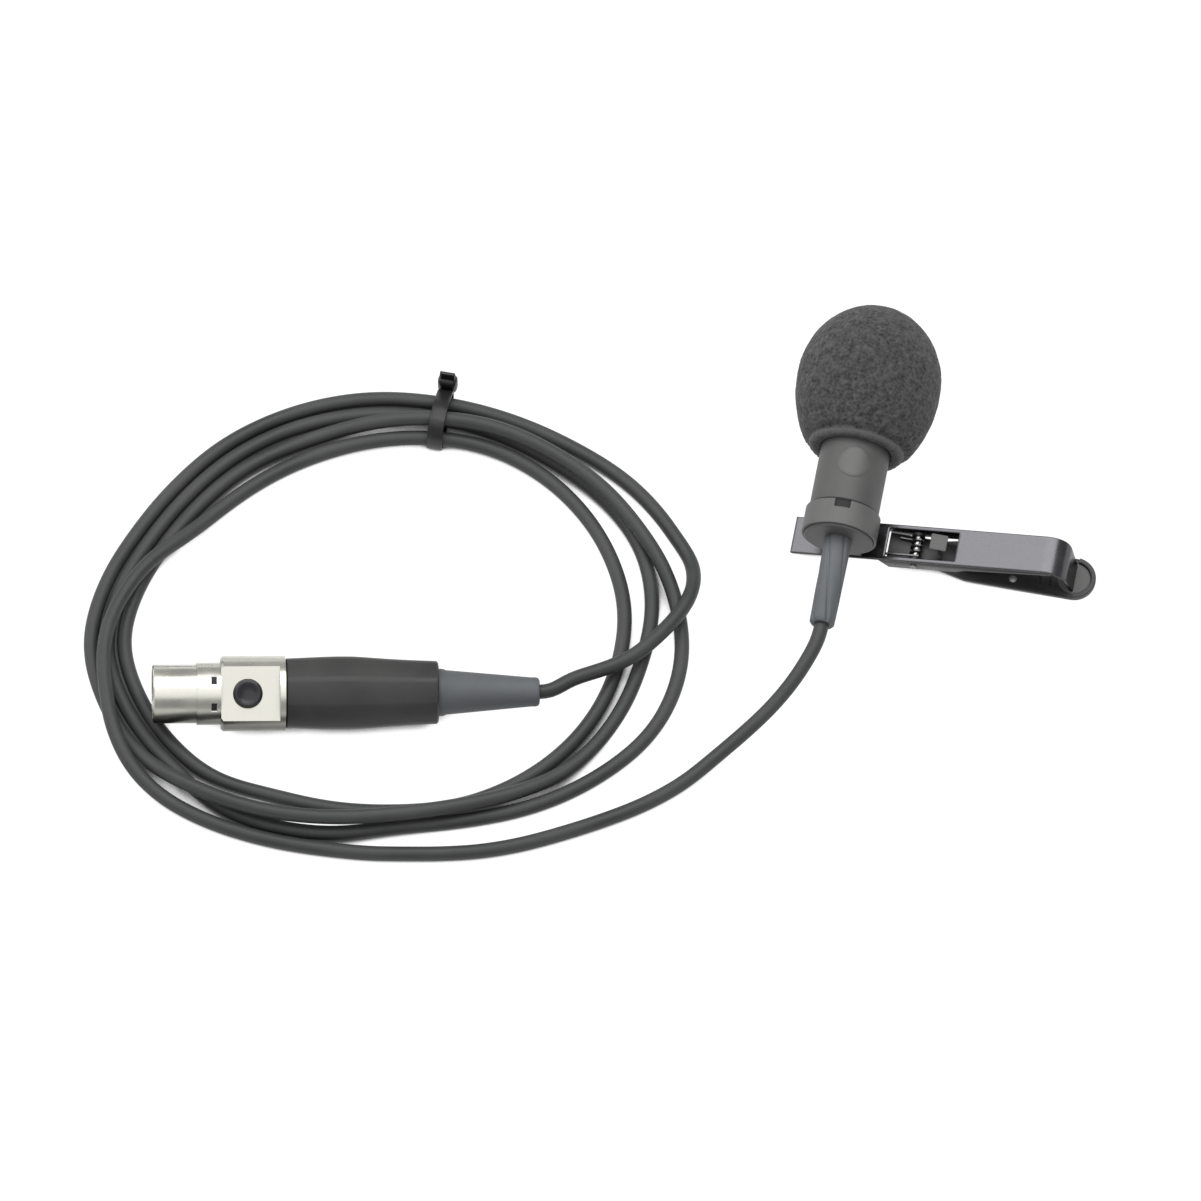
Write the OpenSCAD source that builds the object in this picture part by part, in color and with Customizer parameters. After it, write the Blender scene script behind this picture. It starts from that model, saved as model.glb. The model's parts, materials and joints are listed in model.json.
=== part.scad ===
// Lavalier microphone with a foam windscreen, held in the ring of a sprung tie clip.
// Its thin cable is wound into a coil with a tie round it and ends in a small latching plug.
// Millimetres. +Z is up, +Y is the way the head points, and the clip reaches towards +X.

/* [Microphone] */
// Outer diameter of the capsule housing
body_d = 9.9; // [9.4:0.1:10.6]
// Wall of the capsule housing
body_wall = 0.45; // [0.4:0.05:0.6]
// Housing length behind the middle of the clip's ring
body_back = 2.2; // [2.1:0.1:2.8]
// Housing length ahead of the middle of the clip's ring
body_front = 14; // [13.4:0.2:15]
// Length of the perforated cap at the head
grille_len = 6.6; // [6:0.2:7.6]
// Wall of the perforated cap
grille_wall = 0.35; // [0.3:0.05:0.45]
// Diameter of the sound holes in the cap
grille_hole_d = 1.1; // [0.8:0.1:1.2]
// Diameter of the plain disc on the housing
badge_d = 4.8; // [4:0.2:5.2]
// Length of the capsule's can
capsule_len = 5.2; // [5:0.1:5.6]

/* [Windscreen] */
// Diameter of the foam ball
foam_d = 20.4; // [19:0.2:22]
// Diameter of the foam's rim
foam_rim_d = 13.4; // [12.6:0.2:14.4]
// Foam ahead of its widest place
foam_nose = 11.5; // [10.6:0.1:12.5]
// Foam behind its widest place
foam_tail = 10.7; // [10:0.1:11.2]

/* [Clip] */
// Length of the ring along the microphone
ring_len = 3.8; // [3.6:0.2:4.2]
// Wall of the ring
ring_wall = 0.4; // [0.35:0.05:0.55]
// Width of the notch in the ring's edge nearest the head
ring_notch = 2.1; // [1.6:0.1:2.4]
// Thickness of the clip's sheet metal
sheet_t = 0.5; // [0.4:0.05:0.55]
// Width of the upper arm
arm_w = 5.6; // [5.4:0.1:6]
// Upper arm's reach past the middle of the ring
arm_reach = 31.6; // [30.6:0.2:33]
// Upper arm's length on the other side of the ring
arm_back = 8.3; // [7.4:0.1:9]
// Radius of the bend at the upper arm's tip
arm_bend = 3.1; // [2.8:0.1:3.6]
// Distance of the arm's middle from the ring's middle, towards the head
arm_side = 0.7; // [0.4:0.1:0.9]
// Width of the jaw at its round end
jaw_w = 6.2; // [6:0.1:6.6]
// Jaw's length from its pin
jaw_len = 25.8; // [25.4:0.2:27]
// Angle between the jaw and the upper arm
jaw_drop = 13; // [12:0.5:14]
// Distance of the jaw's pin from the middle of the ring
pin_x = 9.5; // [9.2:0.1:9.8]
// Diameter of the jaw's pin
pin_d = 1; // [0.9:0.05:1.05]

/* [Cable] */
// Diameter of the cable
cord_d = 2.1; // [1.8:0.05:2.1]
// Length of the microphone's strain relief
boot_len = 13.3; // [12.4:0.1:14]
// Diameter of the microphone's strain relief at its root
boot_d = 3.9; // [3.6:0.1:4.2]
// Width of the tie round the coil
tie_w = 2.2; // [1.8:0.2:2.8]
// Thickness of the tie
tie_t = 0.4; // [0.3:0.05:0.4]

/* [Plug] */
// Diameter of the plug's nose
nose_d = 8.3; // [8.2:0.05:8.5]
// Length of the plug's nose up to its collar
nose_len = 6.2; // [6:0.1:7]
// Diameter of the plug's wide shell
shell_d = 10.6; // [10.2:0.1:11]
// Length of the wide shell's flat
flat_len = 8.3; // [8:0.1:9]
// Diameter of the push button
button_d = 4; // [3.6:0.1:4.2]
// How far the button moves
button_travel = 0.6; // [0.4:0.05:0.6]
// Length of the plug's sleeve
sleeve_len = 21.6; // [20.6:0.2:23]
// Diameter of the plug's strain relief at its root
tail_d = 6.7; // [6.2:0.1:7]
// Length of the plug's strain relief
tail_len = 14.3; // [13:0.1:16]

/* [Hidden] */
$fn = 48;
play = 0.03;
slip = 0.02;

// microphone, measured along its axis from the middle of the clip's ring
body_r = body_d / 2;
bore_r = body_r - body_wall;
cord_r = cord_d / 2;
head_y = body_front + grille_len;
skirt = 1.2;
capsule_top = body_front - skirt - 0.2;
capsule_low = capsule_top - capsule_len;
can_r = bore_r - 0.5;
can_wall = 0.3;
cell_r = can_r - can_wall;
board_t = 0.6;
cell_top = capsule_top - can_wall;
cap_t = 1.2;
neck_r = boot_d / 2 - 0.4;
flange_r = neck_r + 1.1;
flange_t = 0.8;
crimp_len = 1.2;
crimp_r = cord_r + 0.6;
boot_end = body_back + boot_len;
boot_tip_r = boot_d / 2 - 0.15;
badge_y = 8.1;
badge_turn = 6;
badge_proud = 0.1;
badge_deep = 0.2;

// windscreen
foam_r = foam_d / 2;
rim_r = foam_rim_d / 2;
foam_y = body_front - 2.4 + foam_tail;
rim_y = foam_y - foam_tail;
foam_bore_r = body_r + 0.08;
foam_depth_y = head_y + 0.1;
foam_back = foam_tail / sqrt(1 - pow(rim_r / foam_r, 2));

// clip, in the ring's own frame: x along the arm, z away from the microphone's axis
ring_in = body_r + play;
ring_out = ring_in + ring_wall;
foot_z = -(ring_out + 0.22);
foot_w = 4.4;
web_z = foot_z - sheet_t;
rivet_r = 0.7;
rivet_head_r = 1.1;
rivet_head = 0.35;
pin_r = pin_d / 2;
pin_hole = pin_r + play;
pin_z = web_z - 1.05;
flange_z = pin_z - pin_hole - 0.45;
window_a = pin_x - 4;
window_b = pin_x + 6.3;
window_w = arm_w - 1.2;
notch_deep = 1.2;
notch_turn = 12;
ear_r = 0.95;
ear_t = 0.45;
ear_y = arm_w / 2 - sheet_t - 0.1;
wire_r = 0.2;
spring_r = 0.75;
spring_pitch = 0.85;
spring_turns = 3;
plate_z = -(spring_r + wire_r + 0.05);
jaw_neck = 2 * ear_y;
jaw_back = 3;
jaw_end = jaw_len - jaw_w / 2;
foot_x = (arm_reach - pin_x - plate_z * sin(jaw_drop)) / cos(jaw_drop);
wall_z = pin_z - (foot_x - 0.7) * sin(jaw_drop) + plate_z * cos(jaw_drop) + 0.02;
wall_w = 4.2;
tab_x = 3.2;
tab_w = 2.4;
tab_top = 3.55;

// how the microphone lies: foam ball, arm's back edge and jaw's tip on the ground
back_low = [-arm_back, web_z];
end_drop = (plate_z - sheet_t) * cos(jaw_drop) + pin_z - jaw_len * sin(jaw_drop);
end_x = pin_x + jaw_len * cos(jaw_drop) + (plate_z - sheet_t) * sin(jaw_drop);
roll = atan2(back_low[1] - end_drop, end_x + arm_back);
clip_drop = -(end_x * sin(roll) + end_drop * cos(roll));
support_y = foam_y + jaw_w / 2 - arm_side;
lean = asin(foam_r / norm([support_y, clip_drop])) - atan2(clip_drop, support_y);
foam_low = norm([foam_back * sin(lean), foam_r * cos(lean)]);
tilt = asin(foam_low / norm([support_y, clip_drop])) - atan2(clip_drop, support_y);
axis_z = norm([foam_back * sin(tilt), foam_r * cos(tilt)]) - foam_y * sin(tilt);
end_top = [pin_x + jaw_len * cos(jaw_drop) + (plate_z + 0.5) * sin(jaw_drop),
           pin_z - jaw_len * sin(jaw_drop) + (plate_z + 0.5) * cos(jaw_drop)];
reach_x = end_top[0] * cos(roll) - end_top[1] * sin(roll);
front_y = foam_y * cos(tilt) + norm([foam_nose * cos(tilt), foam_r * sin(tilt)]);
rear_y = -boot_end * cos(tilt) - boot_tip_r * sin(tilt);
mic_x = -(reach_x - foam_r) / 2;
mic_y = -(front_y + rear_y) / 2;

// plug, measured along its axis from the nose's open end
nose_r = nose_d / 2;
nose_in = nose_r - 0.65;
collar_r = nose_r + 0.25;
collar_end = nose_len + 3.4;
shell_r = shell_d / 2;
flat_z = 3.64;
flat_end = collar_end + flat_len;
sleeve_start = flat_end + 0.8;
sleeve_end = sleeve_start + sleeve_len;
plug_len = sleeve_end + tail_len;
mid_r = 2.8;
insert_start = 1.2;
insert_step = collar_end - 0.6;
insert_end = flat_end - 1.9;
insert_flat = 1.1;
neck_out = shell_r - 0.8;
neck_bore = neck_out - 0.9;
neck_end = sleeve_start + 5.3;
button_x = collar_end + flat_len / 2 - 0.4;
button_r = button_d / 2;
button_top = flat_z + button_travel + 0.1;
plate_low = insert_flat + button_travel + 0.05;
plate_top = plate_low + 0.45;
contact_r = 0.55;
contact_at = [[0, -1.75], [1.72, 0.3], [-1.72, 0.3]];
contact_end = insert_end + 1.5;
sleeve_bulge = shell_r + 0.05;
sleeve_tip_r = shell_r - 0.55;
sleeve_bore = neck_out - 0.6;
tail_r = tail_d / 2;
tail_tip_r = 1.95;
root_len = 1.8;
clamp_x = neck_end - 0.8;
clamp_len = 7;
clamp_r = 1.9;
cable_in = clamp_x + 1.3;
heel_r = sleeve_tip_r + 0.15;
plug_turn = 12.2;
plug_roll = 30;
plug_pitch = asin((cord_d + nose_r + 0.15 - heel_r) / (plug_len - tail_len - 3));
plug_dir = [cos(plug_turn) * cos(plug_pitch), sin(plug_turn) * cos(plug_pitch),
            -sin(plug_pitch)];
plug_exit = [-50.5, -41.4,
             heel_r * cos(plug_pitch) - (tail_len + 1) * sin(plug_pitch) + slip];

// coil: turns laid beside a turned ellipse; each entry is angle, distance outwards and lift
coil_at = [-75, -33];
coil_turn = 15;
coil_a = 36.5;
coil_b = 33;
coil_from = 15;
coil_to = 1350;
ring_step = 15;
lanes = [
  [15, 8, 0], [30, 6.6, 0], [45, 4.95, 0], [60, 4.1, 0], [75, 3.85, 0], [90, 4, 0],
  [105, 3.7, 0], [120, 3.05, 0], [135, 2.15, 0], [150, 2.1, 0], [165, 3.3, 0], [180, 4.6, 0],
  [195, 4.5, 0], [205, 4.4, 0], [211, 4.2, 0.6], [216, 4, 1.5], [221, 3.65, 2.35], [227, 3, 2.6],
  [240, 1.6, 2.6], [255, 0.1, 2.6], [270, -0.9, 2.5], [285, -0.6, 2.3], [300, 0.5, 1.5],
  [308, 0.95, 0.6], [317, 1.1, 0], [330, 1.1, 0], [345, 1.2, 0], [360, 2.15, 0], [375, 2.7, 0],
  [390, 2.25, 0], [405, 1.6, 0], [420, 1.4, 0], [435, 1.3, 0], [450, 1.45, 0], [465, 1.35, 0],
  [480, 0.7, 0], [495, -0.1, 0], [510, -0.15, 0], [525, 1, 0], [540, 2.3, 0], [555, 2.15, 0],
  [568, 1.85, 0], [578, 1.95, 0], [588, 2.6, 0], [600, 2.35, 0], [615, 1.3, 0], [630, -0.1, 0],
  [645, 0.7, 0], [660, 2.7, 0], [675, 4.75, 0], [690, 6.6, 0], [705, 6.8, 0], [719, 5.7, 0.1],
  [728, 4.6, 1.5], [737, 3.3, 2.5], [743, 2.8, 2.6], [750, 2.4, 2.6], [765, 1.55, 2.6],
  [780, 1, 2.5], [795, 0, 2.2], [808, -0.7, 1.45], [820, -1.15, 0.35], [830, -1.45, 0],
  [840, -1.75, 0], [855, -2.4, 0], [870, -2.4, 0], [885, -1.35, 0], [900, -0.1, 0],
  [915, -0.3, 0], [930, -0.45, 0], [945, -0.7, 0], [960, -2.4, 0], [975, -2.75, 0],
  [990, -2.6, 0], [1005, -1.85, 0], [1020, -1.6, 0], [1035, -1.6, 0], [1050, -1.8, 0],
  [1065, -1.95, 0], [1080, -1.8, 0], [1095, -1.8, 0], [1110, -1.55, 0], [1125, -1.2, 0],
  [1140, -1.2, 0], [1155, -2.05, 0], [1170, -3.05, 0], [1185, -4, 0], [1200, -4.75, 0],
  [1209, -4.95, 0], [1218, -4.9, 0.4], [1227, -4.4, 1.65], [1237, -2.3, 2.6], [1245, -0.6, 2.6],
  [1260, 2.4, 2.6], [1275, 4.3, 2.6], [1281, 5.45, 2.6], [1287, 6.25, 1.85], [1292, 6.6, 0.9],
  [1299, 6.4, 0.1], [1308, 5.7, 0], [1320, 4.65, 0], [1335, 3.85, 0], [1350, 4.2, 0]];
tie_angle = 73;
tie_spread = 40;
tie_in = -3.1;
tie_out = 5.3;

// free runs of the cable, between the coil and what it leads to
mic_run = [
  [-13.8, -28.8, 5.6], [-15.05, -32.1, 4.8], [-16.95, -35.7, 3.8], [-19.7, -39.7, 2.7],
  [-23.9, -45, 1.6], [-28.4, -50.6, 1.1], [-33.4, -55.1, 1.05], [-38.7, -58.7, 1.05],
  [-43.8, -61.7, 1.05], [-49, -64.4, 1.05], [-54.4, -66.5, 1.05], [-59.4, -67.8, 1.05]];
plug_run = [
  [-47.2, -38.95, 4.2], [-43.9, -36.9, 4.05], [-40.9, -35, 3.95], [-38.3, -32.8, 3.95],
  [-36.1, -29.7, 3.9], [-34.2, -26.5, 3.8], [-32.9, -23.4, 3.6], [-32.4, -20.6, 3.1],
  [-32.6, -17.8, 2.1]];

function unit(v) = v / norm(v);
function lane_slope(i, c) =
  let (a = max(i - 1, 0), b = min(i + 1, len(lanes) - 1))
  (lanes[b][c] - lanes[a][c]) / (lanes[b][0] - lanes[a][0]);
function lane_index(phi, i = 0) =
  i >= len(lanes) - 2 || phi < lanes[i + 1][0] ? i : lane_index(phi, i + 1);
function lane(phi, i, c) =
  let (h = lanes[i + 1][0] - lanes[i][0], u = (phi - lanes[i][0]) / h)
  (2 * u * u * u - 3 * u * u + 1) * lanes[i][c]
  + (u * u * u - 2 * u * u + u) * h * lane_slope(i, c)
  + (3 * u * u - 2 * u * u * u) * lanes[i + 1][c]
  + (u * u * u - u * u) * h * lane_slope(i + 1, c);
function tie_hump(phi) =
  let (d = abs((phi % 360) - tie_angle))
  d < tie_spread ? (tie_t + 0.05) * pow(cos(90 * d / tie_spread), 2) : 0;
function coil_place(phi, off, z) =
  let (n = unit([coil_b * cos(phi), coil_a * sin(phi)]),
       x = coil_a * cos(phi) + n[0] * off,
       y = coil_b * sin(phi) + n[1] * off)
  [coil_at[0] + x * cos(coil_turn) - y * sin(coil_turn),
   coil_at[1] + x * sin(coil_turn) + y * cos(coil_turn), z];
function coil_point(phi) =
  let (i = lane_index(phi))
  coil_place(phi, lane(phi, i, 1), cord_r + max(lane(phi, i, 2), 0) + tie_hump(phi));
coil_turns = [for (phi = [coil_from:ring_step:coil_to]) coil_point(phi)];
coil_n = len(coil_turns);
coil_in = unit(coil_point(coil_from + 1) - coil_point(coil_from));
coil_out = unit(coil_point(coil_to) - coil_point(coil_to - 1));
coil_path = concat([coil_turns[0] - cord_d * coil_in], coil_turns,
                   [coil_turns[coil_n - 1] + cord_d * coil_out]);

// least gap between turns, from points a few degrees apart to the stretches between them;
// the section has six sides and stands on a corner, so turns face each other across flats
fine = [for (phi = [coil_from:5:coil_to]) coil_point(phi)];
near_turn = 16;
function to_stretch(p, a, b) =
  a + (b - a) * max(0, min(1, (p - a) * (b - a) / ((b - a) * (b - a)))) - p;
function flats_apart(v) =
  let (level = norm([v[0], v[1]]))
  max(level, level * cos(60) + abs(v[2]) * sin(60)) - cord_d * cos(30);
coil_gap = min([for (i = [0:len(fine) - near_turn - 2]) for (j = [i + near_turn:len(fine) - 2])
  norm(fine[i] - fine[j]) < 12 ? flats_apart(to_stretch(fine[i], fine[j], fine[j + 1])) : 99]);
echo(coil_least_gap = coil_gap);

// smooth line through points, and the rings of a tube along a line
function curve(p, n) = [for (i = [0:len(p) - 2]) for (k = [0:n - 1])
  let (a = p[max(i - 1, 0)], b = p[i], c = p[i + 1], d = p[min(i + 2, len(p) - 1)], u = k / n)
  0.5 * (2 * b + (c - a) * u + (2 * a - 5 * b + 4 * c - d) * u * u
         + (3 * b - a - 3 * c + d) * u * u * u)];
function heading(p, i) = unit(p[min(i + 1, len(p) - 1)] - p[max(i - 1, 0)]);
function tube_points(p, r, sides, ref) = [for (i = [0:len(p) - 1])
  let (t = heading(p, i), s = unit(cross(ref, t)), q = cross(t, s))
  for (k = [0:sides - 1]) let (w = 360 * k / sides + 90) p[i] + r * (s * cos(w) + q * sin(w))];
function tube_faces(n, m) = concat(
  [for (i = [0:n - 2]) for (k = [0:m - 1]) [i * m + k, i * m + m + k, i * m + (k + 1) % m]],
  [for (i = [0:n - 2]) for (k = [0:m - 1])
    [i * m + m + k, i * m + m + (k + 1) % m, i * m + (k + 1) % m]],
  [for (k = [1:m - 2]) [0, k, k + 1]],
  [for (k = [1:m - 2]) [(n - 1) * m, (n - 1) * m + k + 1, (n - 1) * m + k]]);

function grounded(p) = [for (q = p) [q[0], q[1], max(q[2], cord_r)]];
boot_tip = [mic_x, mic_y - boot_end * cos(tilt), axis_z - boot_end * sin(tilt)];
boot_dir = [0, -cos(tilt), -sin(tilt)];
mic_join = coil_path[coil_n + 1];
plug_join = coil_path[0];
mic_line = concat([boot_tip], grounded(curve(concat([boot_tip + cord_d * boot_dir], mic_run,
  [mic_join + cord_d * coil_out]), 2)), [mic_join + cord_d * coil_out, mic_join]);
plug_line = concat([plug_exit], grounded(curve(concat([plug_exit + cord_d * plug_dir],
  plug_run, [plug_join - cord_d * coil_in]), 2)), [plug_join - cord_d * coil_in, plug_join]);

// torsion spring: a back leg under the arm, turns round the pin, a back leg on the jaw
turn_end = 360 * spring_turns + 180 + jaw_drop;
spring_half = spring_pitch * turn_end / 720;
leg_len = 3.4;
spring_turn_points = [for (a = [0:45:turn_end])
  [spring_r * sin(a), -spring_half + spring_pitch * a / 360, spring_r * cos(a)]];
leg_dir = [-cos(jaw_drop), 0, sin(jaw_drop)];
last_turn = [spring_r * sin(turn_end), spring_half, spring_r * cos(turn_end)];
spring_line = concat([[-leg_len - 1.6, -spring_half, spring_r]], spring_turn_points,
  [last_turn, last_turn + (leg_len - 0.9) * leg_dir]);

// ---- places ----

module mic_frame() {
  translate([mic_x, mic_y, axis_z]) rotate([tilt, 0, 0]) children();
}

// inside here +Z runs along the microphone, towards its head
module mic_axis() {
  mic_frame() rotate([-90, 0, 0]) children();
}

module clip_frame() {
  mic_frame() rotate([0, -roll, 0]) children();
}

module arm_frame() {
  clip_frame() translate([0, arm_side, 0]) children();
}

module jaw_frame() {
  arm_frame() translate([pin_x, 0, pin_z]) rotate([0, jaw_drop, 0]) children();
}

module plug_frame() {
  translate(plug_exit - plug_len * plug_dir) rotate([0, plug_pitch, plug_turn])
    rotate([plug_roll, 0, 0]) children();
}

// inside here +Z runs along the plug, from its nose to the cable
module plug_axis() {
  plug_frame() rotate([0, 90, 0]) children();
}

module tube(r_out, r_in, from, to) {
  translate([0, 0, from]) difference() {
    cylinder(r = r_out, h = to - from);
    translate([0, 0, -1]) cylinder(r = r_in, h = to - from + 2);
  }
}

module disc(r, from, to) {
  translate([0, 0, from]) cylinder(r = r, h = to - from);
}

module across(r, half) {
  rotate([90, 0, 0]) cylinder(r = r, h = 2 * half, center = true);
}

module rod(a, b, r) {
  d = b - a;
  translate(a) rotate([0, acos(d[2] / norm(d)), atan2(d[1], d[0])]) cylinder(r = r, h = norm(d));
}

// ---- microphone ----

module windscreen() {
  back = [for (k = [1:10]) let (d = foam_tail * (1 - k / 10))
    [foam_r * sqrt(1 - pow(d / foam_back, 2)), foam_y - d]];
  nose = [for (a = [8:8:88]) [foam_r * cos(a), foam_y + foam_nose * sin(a)]];
  color([0.16, 0.16, 0.17]) mic_axis() rotate_extrude() polygon(concat(
    [[foam_bore_r, rim_y], [rim_r - 0.35, rim_y], [rim_r + 0.05, rim_y + 0.35]], back, nose,
    [[0, foam_y + foam_nose], [0, foam_depth_y], [foam_bore_r, foam_depth_y]]));
}

module head_grille() {
  slot_w = 1;
  slots = 4;
  color([0.3, 0.3, 0.31]) mic_axis() difference() {
    union() {
      disc(body_r, body_front, head_y - 0.5);
      translate([0, 0, head_y - 0.5]) cylinder(r1 = body_r, r2 = body_r - 0.5, h = 0.5);
      disc(bore_r - slip, body_front - skirt, body_front + 0.5);
    }
    disc(body_r - grille_wall, body_front + 0.5, head_y - 0.8);
    disc(bore_r - grille_wall, body_front - skirt - 1, body_front + 1);
    translate([0, 0, head_y - 1.5]) cylinder(d = grille_hole_d, h = 3);
    for (a = [0:60:300]) rotate(a) translate([body_r * 0.5, 0, head_y - 1.5])
      cylinder(d = grille_hole_d, h = 3);
    for (k = [0:slots - 1]) rotate(180 * k / slots)
      translate([-body_r - 1, -slot_w / 2, body_front + 1.2])
        cube([body_d + 2, slot_w, grille_len - 3.4]);
  }
}

module grille_cloth() {
  color([0.12, 0.12, 0.12]) mic_axis()
    disc(body_r - grille_wall - slip, head_y - 1.1, head_y - 0.8);
}

module badge_cut(r) {
  rotate([0, 0, -badge_turn]) translate([0, 0, badge_y]) rotate([90, 0, 0])
    cylinder(r = r, h = body_r + 2);
}

module capsule_housing() {
  color([0.24, 0.24, 0.25]) mic_axis() difference() {
    tube(body_r, bore_r, -body_back, body_front);
    intersection() {
      badge_cut(badge_d / 2 + slip);
      tube(body_r + 1, body_r - badge_deep, 0, body_front);
    }
  }
}

module badge() {
  color([0.62, 0.62, 0.6]) mic_axis() intersection() {
    badge_cut(badge_d / 2);
    tube(body_r + badge_proud, body_r - badge_deep, 0, body_front);
  }
}

module capsule_gasket() {
  color([0.1, 0.1, 0.1]) mic_axis()
    tube(bore_r - slip, can_r + slip, capsule_low + 0.6, capsule_top - 0.6);
}

module capsule_can() {
  color([0.72, 0.72, 0.7]) mic_axis() difference() {
    disc(can_r, capsule_low, capsule_top);
    disc(cell_r + slip, capsule_low - 1, cell_top);
    for (a = [0:72:288]) rotate(a) translate([1.8, 0, cell_top - 1]) cylinder(r = 0.4, h = 3);
  }
}

module diaphragm() {
  color([0.75, 0.65, 0.3]) mic_axis() {
    disc(cell_r, cell_top - 0.8, cell_top - 0.65);
    tube(cell_r, cell_r - 0.5, cell_top - 0.65, cell_top);
  }
}

module capsule_spacer() {
  color([0.8, 0.78, 0.7]) mic_axis() tube(cell_r, cell_r - 0.5, cell_top - 1, cell_top - 0.8);
}

module backplate() {
  color([0.7, 0.6, 0.35]) mic_axis() difference() {
    disc(cell_r, cell_top - 1.4, cell_top - 1);
    for (a = [30:60:330]) rotate(a) translate([2.2, 0, cell_top - 2]) cylinder(r = 0.35, h = 2);
  }
}

module capsule_holder() {
  color([0.85, 0.85, 0.82]) mic_axis()
    tube(cell_r, cell_r - 0.6, capsule_low + board_t, cell_top - 1.4);
}

module capsule_board() {
  color([0.1, 0.35, 0.18]) mic_axis() {
    disc(cell_r, capsule_low, capsule_low + board_t);
    translate([-0.9, -0.7, capsule_low + board_t]) cube([1.8, 1.4, 0.9]);
  }
}

module rear_cap() {
  color([0.22, 0.22, 0.23]) mic_axis()
    tube(bore_r - slip, neck_r + slip, -body_back, cap_t - body_back);
}

module mic_strain_relief() {
  low = -boot_end;
  root = cap_t - body_back;
  color([0.33, 0.34, 0.37]) mic_axis() rotate_extrude() polygon([
    [cord_r + slip, low], [boot_tip_r - 0.25, low], [boot_tip_r, low + 0.3],
    [boot_d / 2, -body_back], [neck_r, -body_back], [neck_r, root], [flange_r, root],
    [flange_r, root + flange_t], [cord_r + slip, root + flange_t]]);
}

module cable_crimp() {
  root = cap_t - body_back + flange_t;
  color([0.7, 0.7, 0.7]) mic_axis() tube(crimp_r, cord_r + slip, root, root + crimp_len);
}

module mic_cable_end() {
  top = cap_t - body_back + flange_t + crimp_len + 0.4;
  color([0.15, 0.15, 0.15]) mic_axis() disc(cord_r, -boot_end, top);
}

module mic_wires() {
  top = cap_t - body_back + flange_t + crimp_len + 0.4;
  color([0.75, 0.15, 0.12]) mic_axis() for (x = [-0.5, 0.5])
    translate([x, 0, top]) cylinder(r = 0.3, h = capsule_low - top);
}

// ---- clip ----

module holder_ring() {
  color([0.2, 0.2, 0.21]) clip_frame() difference() {
    union() {
      across(ring_out, ring_len / 2);
      translate([-foot_w / 2, -ring_len / 2, foot_z]) cube([foot_w, ring_len, ring_in]);
    }
    across(ring_in, ring_len);
    rotate([0, notch_turn, 0]) translate([-ring_notch / 2, ring_len / 2 - notch_deep, 0])
      cube([ring_notch, notch_deep + 1, ring_out + 1]);
    translate([0, 0, foot_z - 1]) cylinder(r = rivet_r + slip, h = ring_out);
  }
}

module ring_rivet() {
  color([0.35, 0.35, 0.36]) clip_frame() {
    translate([0, 0, web_z]) cylinder(r = rivet_r, h = -ring_in - 0.1 - web_z);
    translate([0, 0, web_z - rivet_head]) cylinder(r = rivet_head_r, h = rivet_head);
  }
}

// side view of the upper arm: flat web, bend and the wall that closes on the jaw
function arm_outline() =
  let (cx = arm_reach - arm_bend, cz = foot_z - arm_bend, ri = arm_bend - sheet_t)
  concat([[-arm_back, web_z], [-arm_back, foot_z]],
    [for (a = [90:-10:0]) [cx + arm_bend * cos(a), cz + arm_bend * sin(a)]],
    [[arm_reach, wall_z], [arm_reach - sheet_t, wall_z]],
    [for (a = [0:10:90]) [cx + ri * cos(a), cz + ri * sin(a)]]);

function cheek_outline() =
  let (a = window_a - 1, b = arm_reach - arm_bend)
  [[a, web_z + 0.1], [a + 1.2, flange_z], [pin_x + 1.8, flange_z], [pin_x + 3.4, flange_z + 0.5],
   [b, web_z - 0.75], [b + 1.4, web_z - 0.75], [b + 1, web_z + 0.1]];

module clip_arm() {
  side = arm_w / 2;
  color([0.3, 0.3, 0.32]) arm_frame() difference() {
    union() {
      rotate([90, 0, 0]) linear_extrude(arm_w, center = true) polygon(arm_outline());
      for (s = [-1, 1]) translate([0, s * (side - sheet_t / 2), 0]) rotate([90, 0, 0])
        linear_extrude(sheet_t, center = true) polygon(cheek_outline());
    }
    translate([window_a, -window_w / 2, web_z - 1]) cube([window_b - window_a, window_w, 3]);
    translate([0, -arm_side, web_z - 1]) cylinder(r = rivet_r + slip, h = 3);
    translate([pin_x, 0, pin_z]) across(pin_r + slip, arm_w);
    for (s = [-1, 1]) {
      translate([arm_reach - sheet_t - 1, 0, 0]) rotate([90, 0, 90]) linear_extrude(3)
        polygon([[s * wall_w / 2, wall_z - 1], [s * (side + 1), wall_z - 1],
                 [s * (side + 1), foot_z - arm_bend], [s * side, foot_z - arm_bend],
                 [s * wall_w / 2, wall_z + 0.6]]);
      translate([-arm_back, s * side, 0]) rotate(45) cube([1.2, 1.2, 40], center = true);
    }
  }
}

module clip_pin() {
  color([0.6, 0.6, 0.6]) arm_frame() translate([pin_x, 0, pin_z])
    across(pin_r, arm_w / 2 + 0.15);
}

module clip_spring() {
  color([0.7, 0.7, 0.72]) arm_frame() translate([pin_x, 0, pin_z])
    polyhedron(tube_points(spring_line, wire_r, 6, [0, 1, 0]),
               tube_faces(len(spring_line), 6), convexity = 10);
}

function jaw_outline() =
  let (n = jaw_neck / 2, w = jaw_w / 2)
  [[-jaw_back, -n], [3.5, -n], [7.5, -w], [jaw_end, -w],
   [jaw_end, w], [7.5, w], [3.5, n], [-jaw_back, n]];

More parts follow.
